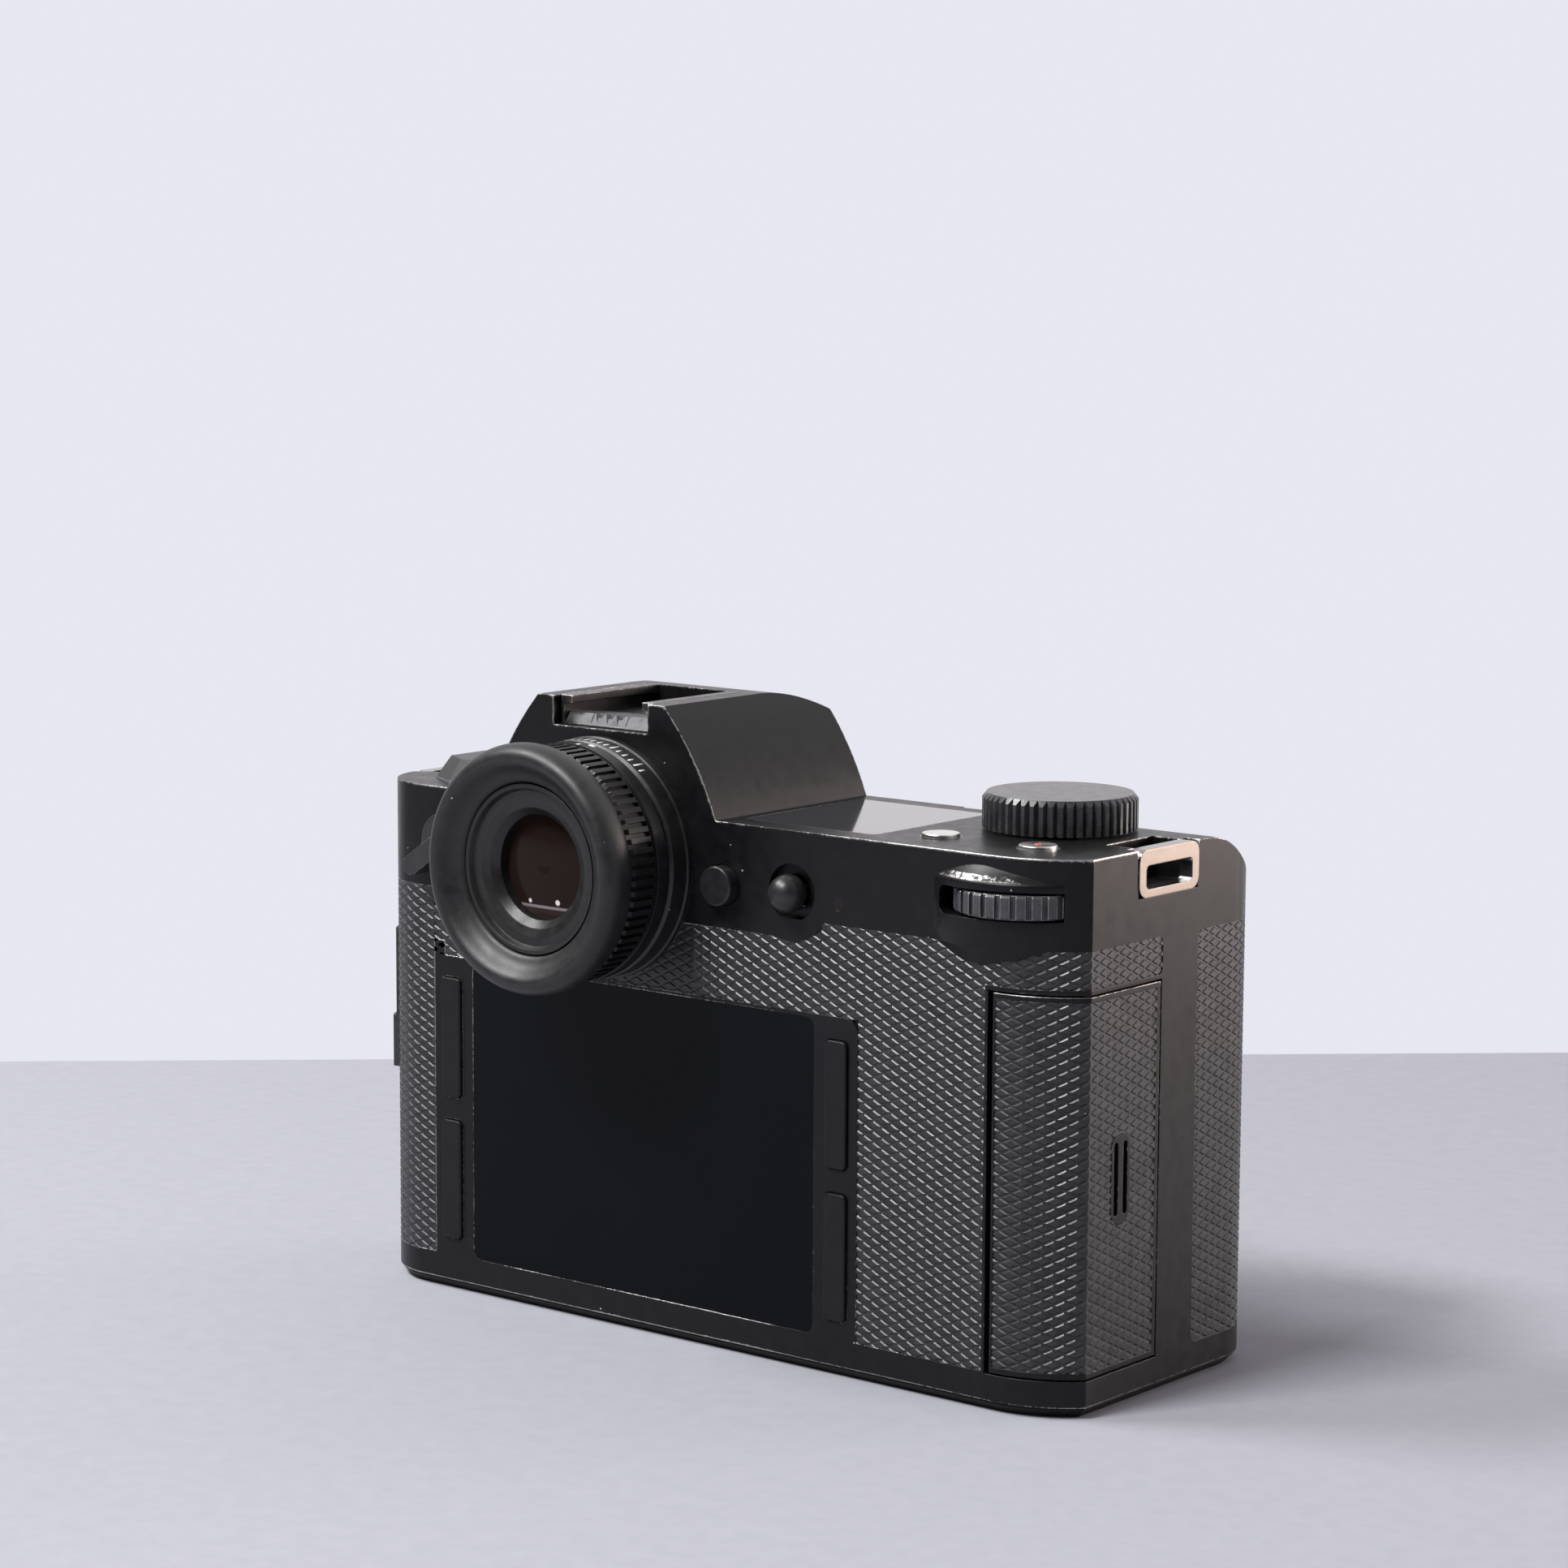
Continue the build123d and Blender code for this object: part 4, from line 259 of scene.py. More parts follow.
def casing_outline():
    """The casing's outline in plan, in mm, from the screen panel's left edge round by the right.

    A line has its two ends, and an arc its centre, radius, first outward direction and turn."""
    left_x, rear_x, grip_x = casing_left + left_radius, casing_right - rear_inset, casing_right - grip_radius
    left_front_y, left_back_y = casing_front - left_radius, casing_back + left_radius
    crest_x, root_x = grip_crest_x + crest_reach, grip_root_x - root_reach
    slope_top = (grip_crest_x - crest_reach * cos(grip_slant), grip_front - crest_reach * sin(grip_slant))
    slope_foot = (grip_root_x + root_reach * cos(grip_slant), casing_front + root_reach * sin(grip_slant))
    return {
        "back": ("line", (panel_left, casing_back), (rear_x, casing_back)),
        "rear_corner": ("arc", (rear_x, casing_back + rear_radius), rear_radius, -pi / 2, rear_turn),
        "side": ("line", (casing_right, side_start_y), (casing_right, grip_front - grip_radius)),
        "grip_corner": ("arc", (grip_x, grip_front - grip_radius), grip_radius, 0, pi / 2),
        "grip": ("line", (grip_x, grip_front), (crest_x, grip_front)),
        "crest": ("arc", (crest_x, grip_front - crest_radius), crest_radius, pi / 2, grip_slant),
        "slope": ("line", slope_top, slope_foot),
        "root": ("arc", (root_x, casing_front + root_radius), root_radius, grip_slant - pi / 2, -grip_slant),
        "front": ("line", (root_x, casing_front), (left_x, casing_front)),
        "front_left": ("arc", (left_x, left_front_y), left_radius, pi / 2, pi / 2),
        "left": ("line", (casing_left, left_front_y), (casing_left, left_back_y)),
        "rear_left": ("arc", (left_x, left_back_y), left_radius, pi, pi / 2),
        "panel_side": ("line", (left_x, casing_back), (panel_left, casing_back))}


outline = casing_outline()
outline_starts, outline_length = {}, 0.0
for stretch, (kind, first, second, *arc) in outline.items():
    outline_starts[stretch] = outline_length
    if kind == "line":
        outline_length += hypot(second[0] - first[0], second[1] - first[1])
    else:
        outline_length += second * abs(arc[1])


def on_casing(s):
    """Point and outward direction in plan at a length s, in mm, along the outline."""
    stretch = [key for key, start in outline_starts.items() if start <= max(s, 0.0)][-1]
    kind, first, second, *arc = outline[stretch]
    s -= outline_starts[stretch]
    if kind == "line":
        way = (Vector(second) - Vector(first)).normalized()
        return Vector(first) + way * s, Vector((way.y, -way.x))
    angle = arc[0] + (s / second if arc[1] > 0 else -s / second)
    out = Vector((cos(angle), sin(angle)))
    return Vector(first) + out * second, out if arc[1] > 0 else -out


def back_s(x):
    """Length along the outline at an x on the back, in mm."""
    return x - panel_left


def side_s(y):
    """Length along the outline at a y on the right side, in mm."""
    return outline_starts["side"] + y - side_start_y


def front_s(x):
    """Length along the outline at an x on the front, in mm."""
    return outline_starts["front"] + grip_root_x - root_reach - x


def ring(s, z, radius, sides=28):
    """Corners of a round hole in a sheet."""
    turns = [2 * pi * i / sides for i in range(sides)]
    return [(s + radius * cos(turn), z + radius * sin(turn)) for turn in turns]


def box_of(s_low, s_high, z_low, z_high):
    """Corners of a square-cornered hole in a sheet."""
    return [(s_low, z_low), (s_high, z_low), (s_high, z_high), (s_low, z_high)]


def round_corner(s, z, s_way, z_way, radius, steps=4):
    """Slivers to cut from a sheet's corner, which points in s_way and z_way, to round it."""
    turns = [i * pi / 2 / steps for i in range(steps + 1)]
    bend = [(s - s_way * radius * (1 - sin(turn)), z - z_way * radius * (1 - cos(turn))) for turn in turns]
    tip = (s + 0.05 * s_way, z + 0.05 * z_way)
    return [[tip, a, b] if s_way * z_way > 0 else [tip, b, a] for a, b in zip(bend, bend[1:])]


def extruded_row(shape, edges):
    """Extrudes rows of edges and gives the new rows' points and edges."""
    made = bmesh.ops.extrude_edge_only(shape, edges=edges)["geom"]
    points = {g for g in made if isinstance(g, bmesh.types.BMVert)}
    row = [g for g in made if isinstance(g, bmesh.types.BMEdge) and all(v in points for v in g.verts)]
    return [g for g in made if g in points], row


def lozenge_field(s_low, s_high, z_low, z_high):
    """A flat field of lozenges with grooves between them, a little larger than the sheet cut from it."""
    middle = Vector((round((s_low + s_high) / 2 / lozenge_width) * lozenge_width,
                     round((z_low + z_high) / 2 / lozenge_height) * lozenge_height, 0))
    count = 2 * int(((s_high - s_low) / lozenge_width + (z_high - z_low) / lozenge_height) / 2 + 3)
    field = bmesh.new()
    bmesh.ops.create_grid(field, x_segments=count, y_segments=count, size=count / 2 / 2 ** 0.5,
                          matrix=Matrix.Rotation(pi / 4, 4, "Z"))
    bmesh.ops.scale(field, vec=(lozenge_width, lozenge_height, 1), verts=field.verts)
    bmesh.ops.translate(field, vec=middle, verts=field.verts)

    def outside(face):
        spot = face.calc_center_median()
        return (spot.x < s_low - lozenge_width or spot.x > s_high + lozenge_width
                or spot.y < z_low - lozenge_width or spot.y > z_high + lozenge_width)

    bmesh.ops.delete(field, geom=[f for f in field.faces if outside(f)], context="FACES")
    bmesh.ops.translate(field, vec=(0, 0, -groove_depth), verts=field.verts)
    tops = field.faces[:]
    bmesh.ops.inset_individual(field, faces=tops, thickness=groove_floor, use_even_offset=True)
    bmesh.ops.inset_individual(field, faces=tops, thickness=groove_width, depth=groove_depth,
                               use_even_offset=True)
    return field


def cut_hole(sheet, hole):
    """Cuts a convex hole, whose corners run anticlockwise in mm, out of a flat sheet."""
    corners = [Vector((s * mm, z * mm, 0)) for s, z in hole]
    centre = sum(corners, Vector()) / len(corners)
    reach = max((c - centre).length for c in corners) + lozenge_width
    sides = list(zip(corners, corners[1:] + corners[:1]))
    for a, b in sides:
        near = [f for f in sheet.faces if (f.calc_center_median() - centre).length < reach]
        geom = list({v for f in near for v in f.verts}) + list({e for f in near for e in f.edges}) + near
        bmesh.ops.bisect_plane(sheet, geom=geom, dist=cut_reach, plane_co=a,
                               plane_no=(b.y - a.y, a.x - b.x, 0))
    inside = [f for f in sheet.faces if all(
        (b - a).to_2d().cross((f.calc_center_median() - a).to_2d()) > 0 for a, b in sides)]
    bmesh.ops.delete(sheet, geom=inside, context="FACES")


def embossed_sheet(name, s_low, s_high, z_low, z_high, holes, body, look):
    """A sheet of lozenges cut flat to size and holes, then laid round the casing; sizes in mm."""
    s_low, s_high, z_low, z_high = (v * mm for v in (s_low, s_high, z_low, z_high))
    sheet = lozenge_field(s_low, s_high, z_low, z_high)
    cuts = [((s_low, 0, 0), (-1, 0, 0), True), ((s_high, 0, 0), (1, 0, 0), True),
            ((0, z_low, 0), (0, -1, 0), True), ((0, z_high, 0), (0, 1, 0), True)]
    crease = outline_starts["side"] * mm
    if s_low < crease < s_high:
        cuts.append(((crease, 0, 0), (1, 0, 0), False))
    for point, normal, clear in cuts:
        bmesh.ops.bisect_plane(sheet, geom=sheet.verts[:] + sheet.edges[:] + sheet.faces[:], dist=cut_reach,
                               plane_co=point, plane_no=normal, clear_outer=clear)
    for hole in holes:
        cut_hole(sheet, hole)
    wall_foot, _ = extruded_row(sheet, [e for e in sheet.edges if e.is_boundary])
    for v in wall_foot:
        v.co.z = -sheet_depth
    bmesh.ops.recalc_face_normals(sheet, faces=sheet.faces[:])
    if sum(f.normal.z * f.calc_area() for f in sheet.faces) < 0:
        bmesh.ops.reverse_faces(sheet, faces=sheet.faces[:])
    for v in sheet.verts:
        point, out = on_casing(v.co.x / mm)
        v.co = Vector((point.x * mm + out.x * v.co.z, point.y * mm + out.y * v.co.z, v.co.y))
    return add_piece(name, sheet, body, look, angle=20.0)


leather_look = coated("leatherette", (0.021, 0.021, 0.023), 0.36, dust=0.10, grain=0.30, grain_scale=3000.0,
                      round_edge=0.0, tint=0.5)
leather_back = embossed_sheet(
    "leather_back_sheet", 0.0, side_s(back_end_y), sheet_low_z, back_top_z,
    [box_of(-1, back_s(panel_cut_right), 0, panel_cut_top),
     box_of(-1, back_s(joystick_x), left_top_z, past_top),
     ring(back_s(joystick_x), joystick_z, joystick_cut),
     ring(back_s(0), finder_z, finder_cut),
     box_of(back_s(door_rim_x), side_s(past_back_end_y), 0, door_rim_top),
     *round_corner(side_s(back_end_y), back_top_z, 1, 1, back_corner),
     *round_corner(side_s(back_end_y), door_rim_top, 1, -1, back_corner)], "camera_body", leather_look)
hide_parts("leather_back")
leather_front = embossed_sheet(
    "leather_front_sheet", side_s(front_start_y), outline_length, sheet_low_z, front_top_z,
    [box_of(front_s(0), outline_length + 1, left_top_z, past_top),
     ring(front_s(0), mount_z, mount_cut, 60),
     ring(front_s(release_x), release_z, release_cut),
     ring(front_s(front_button_x), front_button_z, front_button_cut),
     ring(front_s(lamp_x), lamp_z, lamp_cut),
     box_of(outline_starts["left"] - port_before_left, outline_starts["rear_left"] + port_past_rear,
            port_low_z, port_high_z),
     *round_corner(side_s(front_start_y), front_top_z, -1, 1, front_corner),
     *round_corner(side_s(front_start_y), sheet_low_z, -1, -1, front_corner)], "camera_body", leather_look)
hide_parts("leather_front")

# Base plate: a thin pressed and painted metal pan with a bevelled rim, which
# carries the threaded steel tripod insert and is held by four small
# cross-head screws sunk into round seats.
base_screw_places = ((-44.0, 10.0), (-44.0, -10.0), (60.0, -12.0), (30.0, 12.0))
seat_radius, seat_depth, seat_draft = 1.9 * mm, 0.36 * mm, 0.04 * mm
head_radius, head_height, head_z = 1.5 * mm, 0.26 * mm, 0.28 * mm
thread_radius, thread_bottom, thread_top, thread_pitch = 2.55, 0.2, 6.2, 0.9
thread_root, thread_crest = 0.02, 0.32


def round_seat(shape, x, y, sides=24):
    """Sinks a round seat for a screw head into the flat underside."""
    spot = Vector((x, y, 0.0)) * mm

    def face_here():
        return next(f for f in shape.faces if f.normal.z < -0.99 and abs(f.calc_center_median().z) < 1e-6
                    and bmesh.geometry.intersect_face_point(f, spot))

    for step in range(sides):
        out = Vector((cos(2 * pi * step / sides), sin(2 * pi * step / sides), 0.0))
        face = face_here()
        bmesh.ops.bisect_plane(shape, geom=[face, *face.edges, *face.verts], dist=1e-8,
                               plane_co=spot + out * seat_radius, plane_no=out)
    bmesh.ops.inset_individual(shape, faces=[face_here()], thickness=seat_draft, depth=-seat_depth)


def cross_screw(shape, x, y):
    """A low screw head that looks down, with a cross sunk into it."""
    rim = bmesh.ops.create_circle(shape, segments=24, radius=head_radius)["verts"]
    arm, half = 0.62 * head_radius, 0.13 * head_radius
    corners = [(arm, -half), (arm, half), (half, half), (half, arm), (-half, arm), (-half, half),
               (-arm, half), (-arm, -half), (-half, -half), (-half, -arm), (half, -arm), (half, -half)]
    cross = [shape.verts.new((along_x, along_y, -head_height)) for along_x, along_y in corners]
    cross_edges = [shape.edges.new(pair) for pair in zip(cross, cross[1:] + cross[:1])]
    shoulder, shoulder_edges = extruded_row(shape, list({e for v in rim for e in v.link_edges}))
    bmesh.ops.translate(shape, verts=shoulder, vec=(0, 0, -0.6 * head_height))
    crown, crown_edges = extruded_row(shape, shoulder_edges)
    bmesh.ops.scale(shape, verts=crown, vec=(0.9, 0.9, 1))
    bmesh.ops.translate(shape, verts=crown, vec=(0, 0, -0.4 * head_height))
    bmesh.ops.bridge_loops(shape, edges=crown_edges + cross_edges)
    sunk, sunk_edges = extruded_row(shape, cross_edges)
    bmesh.ops.translate(shape, verts=sunk, vec=(0, 0, 0.9 * head_height))
    bmesh.ops.contextual_create(shape, geom=sunk_edges)
    bmesh.ops.translate(shape, verts=[*rim, *shoulder, *crown, *cross, *sunk], vec=(x * mm, y * mm, head_z))


def dress(look, *names):
    """Gives carried-over nodes their finish."""
    for name in names:
        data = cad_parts[name].data
        data.materials.clear()
        data.materials.append(look)


base_look = coated("base_paint", black_paint, 0.5, bare=bare_metal, wear=2.6, dust=0.16, grain=0.12,
                   specular=0.2, seam=1.8)
base_shape = merged("base_plate")
for screw_x, screw_y in base_screw_places:
    round_seat(base_shape, screw_x, screw_y)
base_pan = add_piece("base_pan", base_shape, "camera_body", base_look, 28.0, True)
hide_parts("base_plate")

steel_look = coated("turned_steel", (0.55, 0.55, 0.54), 0.26, metallic=1.0, grain=0.10, tint=0.08)
dress(steel_look, "tripod_socket")
screws = bmesh.new()
for screw_x, screw_y in base_screw_places:
    cross_screw(screws, screw_x, screw_y)
bmesh.ops.recalc_face_normals(screws, faces=screws.faces[:])
add_piece("base_screws", screws, "camera_body", steel_look, angle=30.0)


def thread_rings(name, radius, bottom, top, pitch, look):
    """Rounded turns inside a threaded hole, spun from one saw-tooth line; sizes in mm."""
    shape = bmesh.new()
    count = int((top - bottom) / pitch)
    points = []
    for i in range(count):
        z = bottom + i * pitch
        points += [(radius - thread_root, z), (radius - thread_crest, z + pitch / 2)]
    points.append((radius - thread_root, bottom + count * pitch))
    verts = [shape.verts.new((r * mm, 0, z * mm)) for r, z in points]
    edges = [shape.edges.new(pair) for pair in zip(verts, verts[1:])]
    bmesh.ops.spin(shape, geom=verts + edges, cent=(0, 0, 0), axis=(0, 0, 1), angle=2 * pi, steps=40,
                   use_merge=True)
    bmesh.ops.recalc_face_normals(shape, faces=shape.faces[:])
    face = shape.faces[0]
    if face.normal.dot(face.calc_center_median() * Vector((1, 1, 0))) > 0:
        bmesh.ops.reverse_faces(shape, faces=shape.faces[:])
    return add_piece(name, shape, "camera_body", look, angle=30.0)


thread_rings("tripod_thread", thread_radius, thread_bottom, thread_top, thread_pitch, steel_look)

# Inside: the shutter, sensor, boards, battery bay and card reader, of black
# moulded plastic, bright alloy and green board, which the mount and the open
# doors let one see.
sensor_colour = (0.045, 0.055, 0.075)


def glassy(name, colour, rough=0.06, coat=0.5, specular=0.5):
    """Dark polished glass with a faint haze of wiping marks."""
    look = bpy.data.materials.new(name)
    look.use_nodes = True
    tree = look.node_tree
    shader = tree.nodes["Principled BSDF"]
    smear = noise(tree, node_in(tree, "TexCoord").outputs["Object"], 60.0, 4.0)
    tree.links.new(blend(tree, smear, [v * 0.8 for v in colour], [v * 1.2 for v in colour]),
                   shader.inputs["Base Color"])
    tree.links.new(spread(tree, smear, 0.3, 0.7, rough, rough + 0.04), shader.inputs["Roughness"])
    shader.inputs["Specular IOR Level"].default_value = specular
    shader.inputs["Coat Weight"].default_value = coat
    shader.inputs["Coat Roughness"].default_value = 0.03
    return look


plastic_look = coated("moulded_plastic", (0.016, 0.016, 0.017), 0.46, dust=0.05, grain=0.25)
dress(plastic_look, "shutter_frame", "battery_bay", "card_reader", "port_block", "battery", "throat_baffle")
dress(coated("shutter_blade", (0.028, 0.028, 0.030), 0.34, metallic=0.2, grain=0.05, round_edge=0.05),
      "first_curtain_leaf_1", "first_curtain_leaf_2", "second_curtain_leaf_1", "second_curtain_leaf_2")
dress(coated("sensor_alloy", (0.60, 0.60, 0.59), 0.36, metallic=1.0, grain=0.15, tint=0.08), "sensor_frame")
dress(coated("circuit_board", (0.012, 0.060, 0.030), 0.35, grain=0.2, grain_scale=900.0), "main_board")
dress(glassy("sensor_glass", sensor_colour), "image_sensor")

# Battery lever and port cover: a dark satin turning lever of alloy in the base
# plate, and a black rubber flap in the left end.
dress(coated("dark_satin", (0.030, 0.030, 0.032), 0.34, bare=(0.55, 0.54, 0.52), wear=2.25, dust=0.08,
             grain=0.08), "battery_lever")
dress(coated("black_rubber", (0.020, 0.020, 0.021), 0.55, dust=0.12, grain=0.35, grain_scale=1800.0),
      "port_cover")

# Lens mount: a turned steel flange on four screws, with gilt contact pins in a
# black ring behind it, the release button with its lock pin, a round button
# and the window of a lamp.
button_look = coated("anodised_button", (0.022, 0.022, 0.024), 0.33, bare=(0.6, 0.6, 0.6), wear=2.45,
                     dust=0.08, grain=0.08)
dress(coated("brushed_flange", (0.62, 0.61, 0.60), 0.28, metallic=1.0, grain=0.10, tint=0.06),
      "lens_mount_ring")
dress(coated("bright_chrome", (0.78, 0.78, 0.78), 0.10, metallic=1.0, tint=0.05), "mount_screws")
dress(coated("gilt_pin", (0.80, 0.58, 0.24), 0.22, metallic=1.0, tint=0.05), "lens_contacts")
dress(steel_look, "lens_lock_pin")
dress(button_look, "lens_release_button", "front_button")
dress(glassy("lamp_window", (0.30, 0.12, 0.06), rough=0.10), "af_lamp")

# Top plate: one milled and painted piece with the viewfinder hump, the thumb
# rest and the wheel slot. Its rear and hump edges are rubbed to bare metal. The bare
# streak along the thumb rest's upper edge is partly wear and partly a painted highlight.
thumb_rest_x, thumb_rest_y, thumb_rest_radius = 77.2 * mm, -4.0 * mm, 17.9 * mm
thumb_edge_z, thumb_edge_round = 82.5 * mm, 1.0 * mm


def on_thumb_edge(v):
    """True for a point on the thumb rest's upper outer edge."""
    reach = hypot(v.co.x - thumb_rest_x, v.co.y - thumb_rest_y)
    return abs(v.co.z - thumb_edge_z) < 0.05 * mm and abs(reach - thumb_rest_radius) < 0.1 * mm


# the last three rubs lay a bare streak along the thumb rest's upper edge, partly wear and partly a painted
# highlight
top_paint_wear_and_sheen = coated("top_plate_paint", black_paint, 0.34, bare=bare_metal, wear=2.85, edge=0.75, dust=0.20,
                  grain=0.08, specular=0.25, seam=band_seam_z,
                  rubs=[("X", 10.0, 12.0, 0.20), ("X", 25.0, 27.0, -0.20), ("X", 52.0, 66.0, 0.30),
                        ("Y", 0.0, 14.0, -0.2), ("Z", 84.6, 85.6, 1.7), ("Z", 83.5, 83.9, -1.2),
                        ("Z", 82.75, 82.45, -2.2), ("Y", -19.6, -19.9, 1.12)])
top_shape = merged("top_plate")
bmesh.ops.bevel(top_shape, geom=[e for e in top_shape.edges if all(on_thumb_edge(v) for v in e.verts)],
                offset=thumb_edge_round, offset_type="OFFSET", segments=4, profile=0.5, affect="EDGES",
                material=-1, clamp_overlap=True)
top_cover = add_piece("top_cover", top_shape, "camera_body", top_paint_wear_and_sheen, 28.0, True)
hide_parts("top_plate")

# Antenna cover: a moulded plastic cap glued into the left shoulder, matt black
# and a little paler where its edges are rubbed.
dress(coated("antenna_plastic", (0.018, 0.018, 0.019), 0.40, bare=(0.3, 0.3, 0.3), dust=0.10, grain=0.20),
      "antenna_cover")

# Strap lugs: two slotted plates of satin champagne alloy let into the ends of
# the top plate, with polished walls in the slots.
lug_rough, polished_rough, polished_alloy = 0.36, 0.26, (0.36, 0.355, 0.35)
lug_look = coated("lug_satin", (0.27, 0.235, 0.205), lug_rough, metallic=1.0, grain=0.20, tint=0.06)
lug_tree = lug_look.node_tree
lug_shader = lug_tree.nodes["Principled BSDF"]
lug_way = along(lug_tree, node_in(lug_tree, "NewGeometry").outputs["True Normal"], "X")
polished = spread(lug_tree, sums(lug_tree, "ABSOLUTE", lug_way), 0.7, 0.5)
satin = lug_shader.inputs["Base Color"].links[0].from_socket
lug_tree.links.new(blend(lug_tree, polished, satin, polished_alloy), lug_shader.inputs["Base Color"])
lug_tree.links.new(sums(lug_tree, "MULTIPLY_ADD", polished, polished_rough - lug_rough, lug_rough),
                   lug_shader.inputs["Roughness"])
dress(lug_look, "strap_lugs")

# Accessory shoe: a bent steel channel blackened all over, its rear edge rubbed
# bright, screwed into the recess on the hump. Bowed spring plates and gilt
# contacts lie on its floor.
spring_back, spring_crest, spring_tip, spring_foot = -17.85, -15.9, -9.0, -16.8
spring_back_z, spring_crest_z, spring_tip_z, spring_under_z = 99.26, 101.24, 100.68, 100.45
spring_inner, spring_outer, notched_half = 3.85, 9.2, 3.7
notch_places, notch_reach = (-2.45, -0.25, 1.95), 0.95
contact_z, contact_height = 100.66 * mm, 0.16 * mm


def row_of_sections(shape, sections):
    """A closed solid extruded through outlines, in mm, that stand one behind another."""
    points = [shape.verts.new([c * mm for c in point]) for point in sections[0]]
    first_row = [shape.edges.new(pair) for pair in zip(points, points[1:] + points[:1])]
    row = first_row
    for section in sections[1:]:
        points, row = extruded_row(shape, row)
        for v, point in zip(points, section):
            v.co = [c * mm for c in point]
    for end in (first_row, row):
        bmesh.ops.contextual_create(shape, geom=end)


def spring_section(x, dip=0.0):
    """Outline of a bowed spring plate at one x; dip, from 0 to 1, lowers its crest for a notch."""
    rise = 1 - 0.75 * dip
    return [(x, spring_foot, spring_under_z), (x, spring_tip, spring_under_z), (x, spring_tip, spring_tip_z),
            (x, spring_crest, spring_crest_z - 0.72 * dip),
            (x, spring_back + 1.25 * rise, spring_back_z + 1.95 * rise), (x, spring_back, spring_back_z)]


dress(coated("shoe_black", (0.016, 0.016, 0.017), 0.32, metallic=0.1, bare=(0.62, 0.60, 0.57), wear=2.75,
             edge=0.4, dust=0.14, grain=0.08,
             rubs=[("Z", 103.3, 103.8, 0.30), ("Y", -17.0, -17.6, 0.25)]), "hot_shoe")
springs = bmesh.new()
row_of_sections(springs, [spring_section(x) for x in (-spring_outer, -spring_inner)])
row_of_sections(springs, [spring_section(x) for x in (spring_inner, spring_outer)])
notched = [spring_section(-notched_half)]
for notch_x in notch_places:
    notched += [spring_section(notch_x - notch_reach), spring_section(notch_x, 1.0),
                spring_section(notch_x + notch_reach)]
row_of_sections(springs, [*notched, spring_section(notched_half)])
bmesh.ops.recalc_face_normals(springs, faces=springs.faces[:])
spring_look = coated("spring_black", (0.085, 0.085, 0.090), 0.32, metallic=0.6, dust=0.10, grain=0.08,
                     round_edge=0.1)
add_piece("shoe_springs", springs, "camera_body", spring_look, angle=8.0)
pins = bmesh.new()
for x, y, radius in ((0, -6.5, 1.3), (-4.2, -3.0, 0.9), (4.2, -3.0, 0.9), (-4.2, 0.6, 0.9), (4.2, 0.6, 0.9)):
    made = bmesh.ops.create_cone(pins, cap_ends=True, segments=24, radius1=radius * mm,
                                 radius2=0.9 * radius * mm, depth=contact_height)["verts"]
    bmesh.ops.translate(pins, verts=made, vec=(x * mm, y * mm, contact_z))
contact_look = coated("shoe_contact", (0.72, 0.60, 0.38), 0.25, metallic=1.0, tint=0.08)
add_piece("shoe_contacts", pins, "camera_body", contact_look, angle=30.0)

# Viewfinder: the collar with its scale, the knurled dioptre ring and a stepped
# inner tube, turned from alloy and painted black, with a small display at the
# tube's far end.
rubbed_alloy = (0.66, 0.65, 0.63)
dress(coated("collar_paint", (0.012, 0.012, 0.013), 0.34, bare=rubbed_alloy, wear=2.3, edge=0.3, dust=0.12,
             grain=0.06), "eyepiece_collar")
dress(coated("knurled_ring", (0.010, 0.010, 0.011), 0.36, bare=rubbed_alloy, wear=3.05, edge=0.22,
             dust=0.12, grain=0.06, round_edge=0.1, specular=0.3,
             rubs=[("Y", -32.3, -32.9, 0.45), ("Z", 80.0, 92.0, 0.25), ("Y", -29.6, -28.8, -1.2),
                   ("Z", 84.0, 74.0, -0.8)]), "dioptre_ring")
dress(coated("finder_tube", (0.012, 0.012, 0.012), 0.36, dust=0.10, grain=0.15), "eyepiece_barrel")
dress(glassy("finder_display", (0.02, 0.02, 0.025)), "finder_display")

# Eye lens: coated glass at the tube's mouth, drawn opaque, nearly black and brownish;
# the brown is painted to stand for the coating's tinted reflection. The display's edge
# shows through it as a painted pale chord with a painted glow below it, and two
# painted highlights lie above it.
chord_z, chord_half = 71.5, 0.24
painted_gleams = ((-3.4, 72.3, 0.42), (2.6, 72.5, 0.55))
eye_lens_look = glassy("eye_lens", (0.0160, 0.0095, 0.0075), rough=0.04, coat=0.0, specular=0.07)
lens_tree = eye_lens_look.node_tree
lens_colour = lens_tree.nodes["Principled BSDF"].inputs["Base Color"]
lens_place = node_in(lens_tree, "TexCoord").outputs["Object"]
lens_x, lens_z = along(lens_tree, lens_place, "X"), along(lens_tree, lens_place, "Z")
off_chord = sums(lens_tree, "ABSOLUTE", sums(lens_tree, "SUBTRACT", lens_z, chord_z * mm))
painted_chord_mask = sums(lens_tree, "LESS_THAN", off_chord, chord_half * mm)
# painted light: a pale chord where the display's edge shows through, and a lighter glow below it
lens_tint_and_painted_light = blend(lens_tree, painted_chord_mask, lens_colour.links[0].from_socket, (0.22, 0.19, 0.20))
painted_glow_below = sums(lens_tree, "LESS_THAN", lens_z, (chord_z - chord_half) * mm)
lens_tint_and_painted_light = blend(lens_tree, painted_glow_below, lens_tint_and_painted_light, (0.030, 0.020, 0.018))
